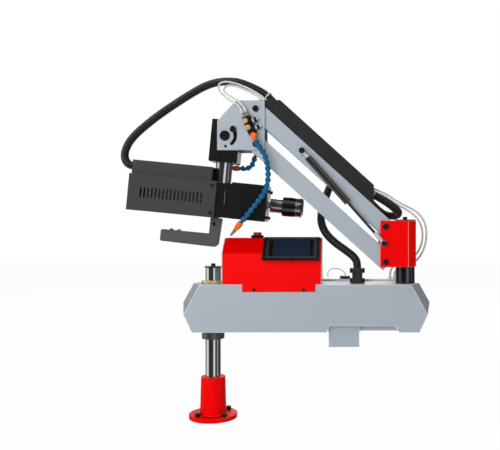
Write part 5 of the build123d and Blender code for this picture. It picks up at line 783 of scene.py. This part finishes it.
def flute_group():
    """Ribs that stand round Z, as on a knurled collar or a grooved nut."""

    def fill(group, given):
        inputs = {"Vertices": given["Count"], "Radius": given["Radius"]}
        ring = put(group, "GeometryNodeMeshCircle", inputs).outputs[0]
        turned = facing(group, put(group, "GeometryNodeInputPosition").outputs[0], "X")
        rib = put(group, "GeometryNodeMeshCube", {"Size": given["Size"]}).outputs[0]
        return scattered(group, ring, rib, turned)

    inputs = [("Count", "Int", 60), ("Radius", "Float", 0.028), ("Size", "Vector", (0.001, 0.001, 0.02))]
    return node_group("flutes", inputs, fill)


def flutes(place, count, radius, size, look):
    """The mesh of a ring of ribs: its place, number, radius and a rib's (height, width, length)."""
    holder = linked("flutes", bpy.data.meshes.new("flutes"))
    sizes = {"Radius": radius * MM, "Size": [part * MM for part in size]}
    mesh = grown(holder, flute_group(), Count=count, Finish=finish(look), **sizes).data
    bpy.data.objects.remove(holder)
    mesh.transform(place)
    return mesh


def thread_of(name, route):
    """An object whose mesh is the smooth line of a route in millimetres, and the line's points."""
    curve = bpy.data.curves.new(name + "_line", "CURVE")
    curve.dimensions = "3D"
    curve.resolution_u = 14
    spline = curve.splines.new("NURBS")
    spline.points.add(len(route) - 1)
    for point, place in zip(spline.points, route):
        point.co = (*[part * MM for part in place], 1)
    spline.order_u = 3
    spline.use_endpoint_u = True
    holder = linked(name + "_line", curve)
    mesh = bpy.data.meshes.new_from_object(holder.evaluated_get(bpy.context.evaluated_depsgraph_get()))
    bpy.data.objects.remove(holder)
    return linked(name, mesh), [vertex.co.copy() for vertex in mesh.vertices]


def length_of(points):
    """The length of a line through points."""
    return sum((b - a).length for a, b in zip(points, points[1:]))


def laid(name, route, slot, group, look, node=None, **sizes):
    """A piece of a cord grown along a route, standing for the cord's solid, and the line's points."""
    piece, points = thread_of(name, route)
    grown(piece, group, Finish=finish(look), **sizes)
    piece.data.shade_smooth()
    if node:
        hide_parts(node)
    return piece, points


def conduit(name, node, route):
    """A ribbed conduit along a route."""
    cords = bpy.context.scene.tapper_cords
    sizes = {"Diameter": cords.conduit, "Pitch": cords.rib_pitch, "Depth": cords.rib_depth}
    return laid(name, route, SLOT_OF[node], conduit_group(), "conduit_plastic", node, **sizes)


def declared(piece, points, diameter):
    """The piece as it is; its start, length and points are worked out and not kept."""
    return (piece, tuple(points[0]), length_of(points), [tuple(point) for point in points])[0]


def head_point(s, y, t):
    """A point of the head, along it, across it and down it in millimetres."""
    return TILT_AXIS + ALONG_HEAD * s * MM + Vector((0, y * MM, 0)) + DOWN_HEAD * t * MM


# ---------------------------------------------------------------- operators


class TAPPER_OT_pedestal(bpy.types.Operator):
    """Dress the foot, the column and what is on it"""

    bl_idname = "tapper.pedestal"
    bl_label = "Pedestal"

    def execute(self, context):
        cased("base_flange")
        machined("base_bolts")
        machined("column")
        machined("column_cap", "black_steel")
        machined("stop_collar", "burnished")
        return {"FINISHED"}


class TAPPER_OT_beam(bpy.types.Operator):
    """Dress the beam, its bushes and the post"""

    bl_idname = "tapper.beam"
    bl_label = "Beam"

    def execute(self, context):
        # The beam's bevelled rims take a light finish as a painted highlight.
        cased("beam_shell", edge="grey_edge")
        machined("column_bushes")
        machined("post", "blued_steel")
        machined("post_retainer", "black_steel")
        frame["nodes"]["drive_units"].data.materials[0] = finish("motor_metal")
        return {"FINISHED"}


class TAPPER_OT_control_box(bpy.types.Operator):
    """Dress the control box, its panel and its button"""

    bl_idname = "tapper.control_box"
    bl_label = "Control box"

    def execute(self, context):
        cased("control_box")
        cased("control_box_back")
        machined("control_box_screws")
        cased("touch_panel", "panel_black", share=1.5)
        machined("button_base", "panel_black")
        machined("start_button")
        low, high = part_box("touch_screen")
        middle = (low + high) / 2
        surface = max(vertex.co @ PANEL_OUT for vertex in frame["nodes"]["touch_panel"].data.vertices)
        centre = middle + PANEL_OUT * (surface - middle @ PANEL_OUT)
        looks = ("screen_border", "screen_glass")
        dressed("touch_screen", 0, *looks, pick=lambda at, normal: normal @ PANEL_OUT > 0.9)
        half_x = (high.x - low.x) / 2 / MM
        half_up = (high.z - low.z) / 2 / PANEL_UP.z / MM
        bars = [(side * (half_x - SCREEN_BAR / 2), 0, SCREEN_BAR, 2 * half_up - 1) for side in (-1, 1)]
        self.strips("screen_borders", centre, bars, "screen_border", "screen_glass")
        out_x, out_up = half_x + LINE_OUTSIDE[0], half_up + LINE_OUTSIDE[1]
        width = context.scene.tapper_trim.line_width / MM
        lines = []
        for side in (-1, 1):
            lines.append((0, side * out_up, 2 * out_x + width, width))
            lines.append((side * out_x, 0, width, 2 * out_up - width))
        self.strips("panel_lines", centre, lines, "panel_line", "nickel")
        return {"FINISHED"}

    @staticmethod
    def strips(name, centre, places, look, slot):
        """Flat strips on the panel: each one's middle across and up from its centre, and its sizes."""
        axes = (Vector((1, 0, 0)), PANEL_UP, PANEL_OUT)
        meshes = [
            block(centre + (axes[0] * x + PANEL_UP * up) * MM, axes, (*sizes, STRIP_THICKNESS))
            for x, up, *sizes in places
        ]
        trimmed(name, joined(name, meshes), look, "beam")


class TAPPER_OT_coolant_tank(bpy.types.Operator):
    """Dress the tank, its cap and the glands"""

    bl_idname = "tapper.coolant_tank"
    bl_label = "Coolant tank"

    def execute(self, context):
        cased("coolant_tank")
        machined("tank_cap")
        machined("cable_glands")
        places = [Matrix.Translation(Vector((*GLAND, height)) * MM) for height in GLAND_NUTS]
        ribs = [flutes(place, 14, 20.4, (2.0, 3.4, 11.5), "black_plastic") for place in places]
        trimmed("gland_flutes", joined("gland_flutes", ribs), "black_plastic", "beam")
        return {"FINISHED"}


class TAPPER_OT_bracket(bpy.types.Operator):
    """Dress the swivel bracket and its pins"""

    bl_idname = "tapper.bracket"
    bl_label = "Swivel bracket"

    def execute(self, context):
        # The bracket's bevelled rims take a light finish as a painted highlight.
        cased("swivel_bracket", edge="red_edge")
        machined("bracket_pins")
        dressed("post_bearings", 0)
        return {"FINISHED"}


class TAPPER_OT_arms(bpy.types.Operator):
    """Dress the two arms, the cable cover and the gas strut"""

    bl_idname = "tapper.arms"
    bl_label = "Arms and strut"

    def execute(self, context):
        for node in ("upper_arm", "lower_arm"):
            cased(node)
        for node in ("upper_arm_bushes", "lower_arm_bushes"):
            machined(node)
        cased("cable_cover", "cover_black")
        machined("strut_upper_stud")
        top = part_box("strut_cylinder")[1].z - UPPER_EYE
        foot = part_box("strut_rod")[0].z + LOWER_EYE
        machined("strut_cylinder", "gloss_black", "bright_nickel", pick=lambda at, normal: at.z > top)
        machined("strut_rod", "blued_steel", "bright_nickel", pick=lambda at, normal: at.z < foot)
        return {"FINISHED"}


class TAPPER_OT_head_bracket(bpy.types.Operator):
    """Dress the head's bracket, its pins and the valves"""

    bl_idname = "tapper.head_bracket"
    bl_label = "Head bracket"

    def execute(self, context):
        cased("head_plates")
        cased("head_cross_bar")
        machined("head_pins")
        machined("mist_valves", "black_casting", "nickel", pick=self.valve_face)
        machined("mist_knob_upper", "brass")
        machined("mist_knob_lower", "brass")
        fittings = machined("hose_fittings", "orange_plastic", "tan_metal", pick=self.fitting_face)
        for name, test in (
            ("nozzle_front", lambda at: at.z < 0.6),
            ("nozzle_rear", lambda at: at.y > 0.03 and at.x < 0.09),
        ):
            riding(split(fittings, name, test), "head_carrier")
        screws = []
        knobs = []
        for along, size in FLOW_SCREWS:
            foot = VALVE_MIDDLE + VALVE_DOWN * along * MM + VALVE_ASIDE * VALVE_SIDE * MM
            place = pointed(foot, VALVE_ASIDE)
            nut, tip, knob = 4.6 * size, 3.2 * size, 5.4 * size
            screws.append(lathe([(0, 0), (nut, 0), (nut, 4), (0, 4)], 6, place=place))
            screws.append(lathe([(0, 4), (2.8, 4), (2.8, 6), (0, 6)], 24, place=place))
            profile = [(0, 13), (tip, 13), (tip, 16), (2.6 * size, 17), (0, 17)]
            screws.append(lathe(profile, 24, place=place))
            profile = [(0, 5.5), (nut, 5.5), (knob, 6.3), (knob, 12.2), (nut, 13), (0, 13)]
            knobs.append(lathe(profile, 28, place=place))
            middle = place @ Matrix.Translation((0, 0, 9.25 * MM))
            knobs.append(flutes(middle, 22, knob, (0.7, 0.7, 5.4), "black_steel"))
        sleeve = [(3.05, 0), (4.6, 0), (5.1, 1), (5.1, 8.5), (4.4, 9.2), (4.4, 11), (3.6, 11.8), (3.05, 11.8)]
        for route in TUBES_FRONT:
            place = pointed(Vector(route[-1]) * MM + VALVE_DOWN * 2 * MM, -VALVE_DOWN)
            screws.append(lathe(sleeve, 28, closed=True, place=place))
        trimmed("flow_screws", joined("flow_screws", screws), "bright_nickel", "head_carrier")
        trimmed("flow_knobs", joined("flow_knobs", knobs), "black_steel", "head_carrier")
        return {"FINISHED"}

    @staticmethod
    def valve_face(at, normal):
        """The blocks are black, and what stands out of them is nickel."""
        x, z = FRONT_VALVE if at.y < 0 else REAR_VALVE
        out = at - Vector((x * MM, at.y, z * MM))
        return not (abs(out @ VALVE_ASIDE) < 13 * MM and -26 * MM < out @ VALVE_DOWN < 30 * MM)

    @staticmethod
    def fitting_face(at, normal):
        """The nozzles' tips are metal."""
        return min((at - tip).length for tip in NOZZLE_TIPS) < NOZZLE_TIP_LENGTH


class TAPPER_OT_head(bpy.types.Operator):
    """Dress the tapping head"""

    bl_idname = "tapper.head"
    bl_label = "Tapping head"

    def execute(self, context):
        cased("tilt_block")
        machined("head_shaft")
        cased("clamp_block")
        cased("motor_cover", share=0.8)
        cased("cable_box")
        cased("gear_case")
        cased("handle", share=1.6)
        machined("head_screws")
        machined("grip_button_start")
        machined("grip_button_reverse", "tan_metal")
        machined("servo_motor")
        dressed("spindle_bearings", 0)
        ring = [(0, 0.2), (2.4, 0.2), (2.4, 1.6), (4.6, 1.6), (5.0, 1.2), (5.0, -2), (0, -2)]
        screw = lathe(ring, 28, place=pointed(HANDLE_SCREW, FRONT))
        trimmed("handle_screw", screw, "black_steel", "head")
        slot = head_point(CLAMP_MARKS_ALONG, -CLAMP_FACE - 0.1, 180)
        marks = [block(slot, (ALONG_HEAD, DOWN_HEAD, FRONT), (1.6, 32, 0.5))]
        for t in (155, 161):
            place = pointed(head_point(CLAMP_MARKS_ALONG, -CLAMP_FACE, t), FRONT)
            marks.append(lathe([(0, 0), (1.5, 0), (1.5, 0.5), (0, 0.5)], 16, place=place))
        trimmed("clamp_marks", joined("clamp_marks", marks), "grey_mark", "head")
        return {"FINISHED"}


class TAPPER_OT_spindle(bpy.types.Operator):
    """Dress the spindle and the chuck, with flutes round its collar"""

    bl_idname = "tapper.spindle"
    bl_label = "Spindle and chuck"

    def execute(self, context):
        trim = context.scene.tapper_trim
        machined("spindle")
        machined("chuck_body", "dark_chrome")
        # The collar's grooves take nickel as a painted glint.
        machined("chuck_collar", "blued_steel", "nickel", share=0.6, pick=self.collar_glint_face)
        place = pointed(head_point(197, 0, CHUCK_LINE), ALONG_HEAD)
        size = (2 * trim.knurl_height / MM, 1.3, 26)
        ribs = flutes(place, trim.knurl_count, 28, size, "blued_steel")
        riding(linked("collar_flutes", ribs), "quick_collar")
        return {"FINISHED"}

    @staticmethod
    def collar_glint_face(at, normal):
        """The collar's grooves take nickel as a painted glint."""
        out = at - head_point(0, 0, CHUCK_LINE)
        along = out @ ALONG_HEAD
        radius = (out - ALONG_HEAD * along).length
        return (
            GLINT_GROOVES_ALONG[0] < along < GLINT_GROOVES_ALONG[1] and GLINT_GROOVES_RADIUS[0] < radius < GLINT_GROOVES_RADIUS[1]
        )


class TAPPER_OT_coolant_hoses(bpy.types.Operator):
    """Thread the beads of the two coolant hoses"""

    bl_idname = "tapper.coolant_hoses"
    bl_label = "Coolant hoses"

    def execute(self, context):
        settings = context.scene.tapper_cords
        half = settings.bead / 2 / MM
        # Shares of a bead's half width, and heights along the hose in millimetres.
        profile = (
            (0.42, -8.6), (0.93, -8.6), (1, -7.8), (1, -4.2), (0.93, -1.2), (0.76, 1.2), (0.6, 2.8),
            (0.57, 3.8), (0.68, 5.2), (0.8, 6.8), (0.78, 8.2), (0.7, 9.4), (0.42, 10.0),
        )
        sides = 28
        profile = [(share * half, height) for share, height in profile]
        bead = linked("bead", lathe(profile, sides, closed=True))
        for name, route, y, nozzle in (
            ("coolant_hose_front", HOSE_FRONT, HOSE_FRONT_Y, "nozzle_front"),
            ("coolant_hose_rear", HOSE_REAR, HOSE_REAR_Y, "nozzle_rear"),
        ):
            piece, points = thread_of(name, [(x, y, z) for x, z in route])
            count = round(length_of(points) / settings.bead_pitch)
            inputs = {"Beads": count, "Margin": 0.5 / count, "Bead": bead, "Finish": finish("blue_plastic")}
            grown(piece, bead_group(), **inputs)
            if len(piece.data.polygons) < count * sides:
                raise RuntimeError(f"{name} has no beads")
            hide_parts("coolant_hoses")
            riding(piece, "head_carrier")
            diameter = DECLARED_SHARE * settings.bead
            declared(piece, points, diameter)
        bpy.data.objects.remove(bead)
        return {"FINISHED"}


class TAPPER_OT_conduits(bpy.types.Operator):
    """Lay the ribbed conduits"""

    bl_idname = "tapper.conduits"
    bl_label = "Conduits"

    def execute(self, context):
        size = context.scene.tapper_cords.conduit
        piece, points = conduit("conduit_head_look", "conduit_head", CONDUIT_HEAD)
        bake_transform(piece)
        declared(piece, points, size)
        piece, points = conduit("conduit_cover_look", "conduit_cover_end", CONDUIT_COVER)
        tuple(points[0])
        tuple(points[-1])
        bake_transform(piece)
        piece, points = conduit("conduit_shoulder_look", "shoulder_lines", CONDUIT_SHOULDER)
        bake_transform(piece)
        declared(piece, points, size)
        piece, points = conduit("conduit_lower_look", "conduit_lower", CONDUIT_LOWER)
        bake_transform(piece)
        declared(piece, points, size)
        return {"FINISHED"}


class TAPPER_OT_tubes(bpy.types.Operator):
    """Lay the clear coolant and air tubes"""

    bl_idname = "tapper.tubes"
    bl_label = "Clear tubes"

    def execute(self, context):
        cords = context.scene.tapper_cords
        head = ("upper_link", "head_carrier", (0.172, 0, 0.905), (0.1, 0, 0.955))
        shoulder = ("upper_link", "bracket", (0.46, 0, 0.66), (0.54, 0.03, 0.62))
        tank = ("bracket", "beam", (0.556, 0.034, 0.62), (0.53, 0.0885, 0.41))
        for name, node, routes, (first, second, start, end) in (
            ("head_tube", "tubes_front", TUBES_FRONT, head),
            ("shoulder_tube", "shoulder_lines", TUBES_SHOULDER, shoulder),
            ("tank_tube", "tubes_rear", TUBES_REAR, tank),
        ):
            for number, route in enumerate(routes, 1):
                sizes = {"Diameter": cords.tube, "Bore": cords.bore}
                label = f"{name}_{number}"
                piece, points = laid(label, route, "clear_tube", tube_group(), "clear_tube", node, **sizes)
                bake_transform(piece)
                declared(piece, points, cords.tube)
        return {"FINISHED"}


class TAPPER_OT_ties(bpy.types.Operator):
    """Add the cable ties and the strap of the tank's cap"""

    bl_idname = "tapper.ties"
    bl_label = "Ties and strap"

    def execute(self, context):
        sizes = {"Diameter": STRAP, "Bore": STRAP_BORE}
        strap, points = laid("cap_strap", CAP_STRAP, "black_plastic", tube_group(), "black_plastic", **sizes)
        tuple(points[0])
        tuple(points[-1])
        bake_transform(strap)
        declared(strap, points, STRAP)
        cover = {"start": Vector(CONDUIT_COVER[0]) * MM, "end": Vector(CONDUIT_COVER[-1]) * MM}
        shoulder = SHOULDER_SPAN
        for name, at, way, bodies, span in (
            ("tie_cover", (0.1595, 0, 0.9345), (24, 0, -25), ("head_carrier", "upper_link"), cover),
            ("tie_shoulder", (0.4665, 0.0012, 0.6475), (18, 2, -11), ("upper_link", "bracket"), shoulder),
        ):
            self.tie(name, Vector(at), Vector(way), bodies, span)
        return {"FINISHED"}

    @staticmethod
    def tie(name, at, way, bodies, span):
        """A cable tie round a conduit, with its lock in front."""
        width = bpy.context.scene.tapper_trim.tie_width / MM
        band = [(12.3, -width / 2), (13.3, -width / 2), (13.3, width / 2), (12.3, width / 2)]
        ring = lathe(band, 40, closed=True, place=pointed(at, way))
        lock = block(at + FRONT * 13.6 * MM, (way, -FRONT, way.cross(-FRONT)), (5, 4, 6))
        piece = coated(linked(name, joined(name, [ring, lock])), ["white_tie"])
        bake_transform(piece)


class TAPPER_OT_studio(bpy.types.Operator):
    """Set up the floor, the light and the camera"""

    bl_idname = "tapper.studio"
    bl_label = "Studio"

    floor_reach = 8
    dome_radius = 14
    eye_place = (0.3515, -1.96, 0.5587)
    # Where the reflected panels stand round the machine, in degrees, and how bright they are.
    panels = (
        (-180, 1), (-150, 1), (-142, 0.05), (-112, 0.05), (-104, 1), (-66, 1), (-58, 0.04), (9, 0.04),
        (14, 1), (34, 1), (40, 0.05), (62, 0.05), (70, 0.4), (84, 0.4), (92, 0.05), (142, 0.05), (150, 1),
        (180, 1),
    )
    # Heights on the sphere of reflections, and how far the light of floor and ceiling covers the panels.
    bands = ((-1, 0), (-0.8, 0), (-0.7, 1), (-0.5, 1), (-0.42, 0), (0.55, 0), (0.8, 1), (1, 1))

    def execute(self, context):
        settings = context.scene.tapper_studio
        reach = self.floor_reach
        floor_mesh = bpy.data.meshes.new("floor")
        corners = [(-reach, -reach, 0), (reach, -reach, 0), (reach, reach, 0), (-reach, reach, 0)]
        floor_mesh.from_pydata(corners, [], [(0, 1, 2, 3)])
        floor = linked("floor", floor_mesh)
        floor.data.materials.append(self.floor_look())
        floor.visible_glossy = False
        self.backdrop()
        self.sky(context, settings.ambient)
        self.lamp("key", 2.2, settings.key, (-0.75, -3.05, 1.1)).visible_glossy = False
        self.lamp("fill", 2.0, settings.fill, (0.7, 3.0, 2.4))
        self.lamp("glint", 1.0, settings.glint, (-1.8, -1.6, 2.4)).visible_diffuse = False
        eye = bpy.data.cameras.new("camera")
        eye.sensor_width = 36
        eye.lens = settings.focal
        eye.shift_x = -0.168
        eye.clip_start = 0.05
        eye.clip_end = 60
        camera = linked("camera", eye)
        camera.location = self.eye_place
        camera.rotation_euler = (math.radians(90), 0, 0)
        context.scene.camera = camera
        context.scene.view_settings.view_transform = "Standard"
        return {"FINISHED"}

    @staticmethod
    def lamp(name, size, power, place):
        """A square lamp at a place, turned to the machine."""
        light = bpy.data.lights.new(name, "AREA")
        light.shape = "SQUARE"
        light.size = size
        light.energy = power
        holder = linked(name, light)
        holder.location = place
        middle = Vector((0.2, 0, 0.5))
        holder.rotation_euler = (middle - holder.location).to_track_quat("-Z", "Y").to_euler()
        return holder

    @staticmethod
    def floor_look():
        """Pale floor that fades into the white background."""
        made = bpy.data.materials.new("pale_floor")
        made.use_nodes = True
        tree = made.node_tree
        shader = tree.nodes["Principled BSDF"]
        shader.inputs["Base Color"].default_value = grey(0.9)
        shader.inputs["Roughness"].default_value = 0.9
        glow = put(tree, "ShaderNodeEmission", {"Color": grey(1)}).outputs[0]
        seen = put(tree, "ShaderNodeLightPath").outputs["Is Camera Ray"]
        surface = either(tree, maths(tree, "MULTIPLY", seen, 0.965), shader.outputs[0], glow)
        tree.links.new(surface, tree.nodes["Material Output"].inputs["Surface"])
        return made

    @classmethod
    def sky(cls, context, ambient):
        """Even as light, and dark with bright panels in reflections."""
        world = bpy.data.worlds.new("studio")
        context.scene.world = world
        world.use_nodes = True
        tree = world.node_tree
        tree.nodes.clear()
        even = put(tree, "ShaderNodeBackground", {"Color": grey(1), "Strength": ambient}).outputs[0]
        place = put(tree, "ShaderNodeTexCoord").outputs["Generated"]
        parts = put(tree, "ShaderNodeSeparateXYZ", {0: place}).outputs
        turn = maths(tree, "ARCTAN2", parts["X"], maths(tree, "MULTIPLY", parts["Y"], -1))
        panels = cls.ramp(tree, mapped(tree, turn, -math.pi, math.pi), cls.panels)
        covered = cls.ramp(tree, mapped(tree, parts["Z"], -1, 1), cls.bands)
        mirrored = mixed(tree, covered, panels, grey(0.8))
        mirror = put(tree, "ShaderNodeBackground", {"Color": mirrored}).outputs[0]
        glossy = put(tree, "ShaderNodeLightPath").outputs["Is Glossy Ray"]
        put(tree, "ShaderNodeOutputWorld", {"Surface": either(tree, glossy, even, mirror)})

    @staticmethod
    def ramp(tree, share, stops):
        """Greys over a share, through (place, brightness) stops from the first place to the last."""
        made = put(tree, "ShaderNodeValToRGB", {"Fac": share})
        elements = made.color_ramp.elements
        (low, first), (high, last) = stops[0], stops[-1]
        elements[0].color = grey(first)
        elements[1].color = grey(last)
        for place, bright in stops[1:-1]:
            elements.new((place - low) / (high - low)).color = grey(bright)
        return made.outputs["Color"]

    @classmethod
    def backdrop(cls):
        """A white dome that only the eye sees, directly or through the clear tubes."""
        shape = bmesh.new()
        bmesh.ops.create_uvsphere(shape, u_segments=48, v_segments=24, radius=cls.dome_radius)
        bmesh.ops.reverse_faces(shape, faces=shape.faces)
        mesh = meshed("backdrop", shape, smooth=False)
        made = bpy.data.materials.new("white_backdrop")
        made.use_nodes = True
        tree = made.node_tree
        glow = put(tree, "ShaderNodeEmission", {"Color": grey(1)}).outputs[0]
        tree.links.new(glow, tree.nodes["Material Output"].inputs["Surface"])
        mesh.materials.append(made)
        dome = linked("backdrop", mesh)
        for kind in ("diffuse", "glossy", "shadow", "volume_scatter"):
            setattr(dome, "visible_" + kind, False)
        return dome


OPERATORS = (
    TAPPER_OT_pedestal,
    TAPPER_OT_beam,
    TAPPER_OT_control_box,
    TAPPER_OT_coolant_tank,
    TAPPER_OT_bracket,
    TAPPER_OT_arms,
    TAPPER_OT_head_bracket,
    TAPPER_OT_head,
    TAPPER_OT_spindle,
    TAPPER_OT_coolant_hoses,
    TAPPER_OT_conduits,
    TAPPER_OT_tubes,
    TAPPER_OT_ties,
    TAPPER_OT_studio,
)
SETTINGS = {
    "tapper_finish": FinishSettings,
    "tapper_edges": EdgeSettings,
    "tapper_cords": CordSettings,
    "tapper_trim": TrimSettings,
    "tapper_studio": StudioSettings,
}


class TAPPER_PT_panel(bpy.types.Panel):
    """The machine's operators"""

    bl_label = "Tapping arm"
    bl_idname = "TAPPER_PT_panel"
    bl_space_type = "VIEW_3D"
    bl_region_type = "UI"
    bl_category = "Tapping arm"

    def draw(self, context):
        for operator in OPERATORS:
            self.layout.operator(operator.bl_idname)


def register():
    """Register the settings, the operators and the panel."""
    for name, group in SETTINGS.items():
        bpy.utils.register_class(group)
        setattr(bpy.types.Scene, name, PointerProperty(type=group))
    for operator in OPERATORS:
        bpy.utils.register_class(operator)
    bpy.utils.register_class(TAPPER_PT_panel)


def unregister():
    """Take the panel, the operators and the settings out again."""
    bpy.utils.unregister_class(TAPPER_PT_panel)
    for operator in reversed(OPERATORS):
        bpy.utils.unregister_class(operator)
    for name, group in reversed(SETTINGS.items()):
        delattr(bpy.types.Scene, name)
        bpy.utils.unregister_class(group)


def main():
    """Dress the machine and set up the studio."""
    register()
    for operator in OPERATORS:
        family, verb = operator.bl_idname.split(".")
        if "FINISHED" not in getattr(getattr(bpy.ops, family), verb)():
            raise RuntimeError(f"{operator.bl_label} wasn't finished")


if __name__ == "__main__":
    main()
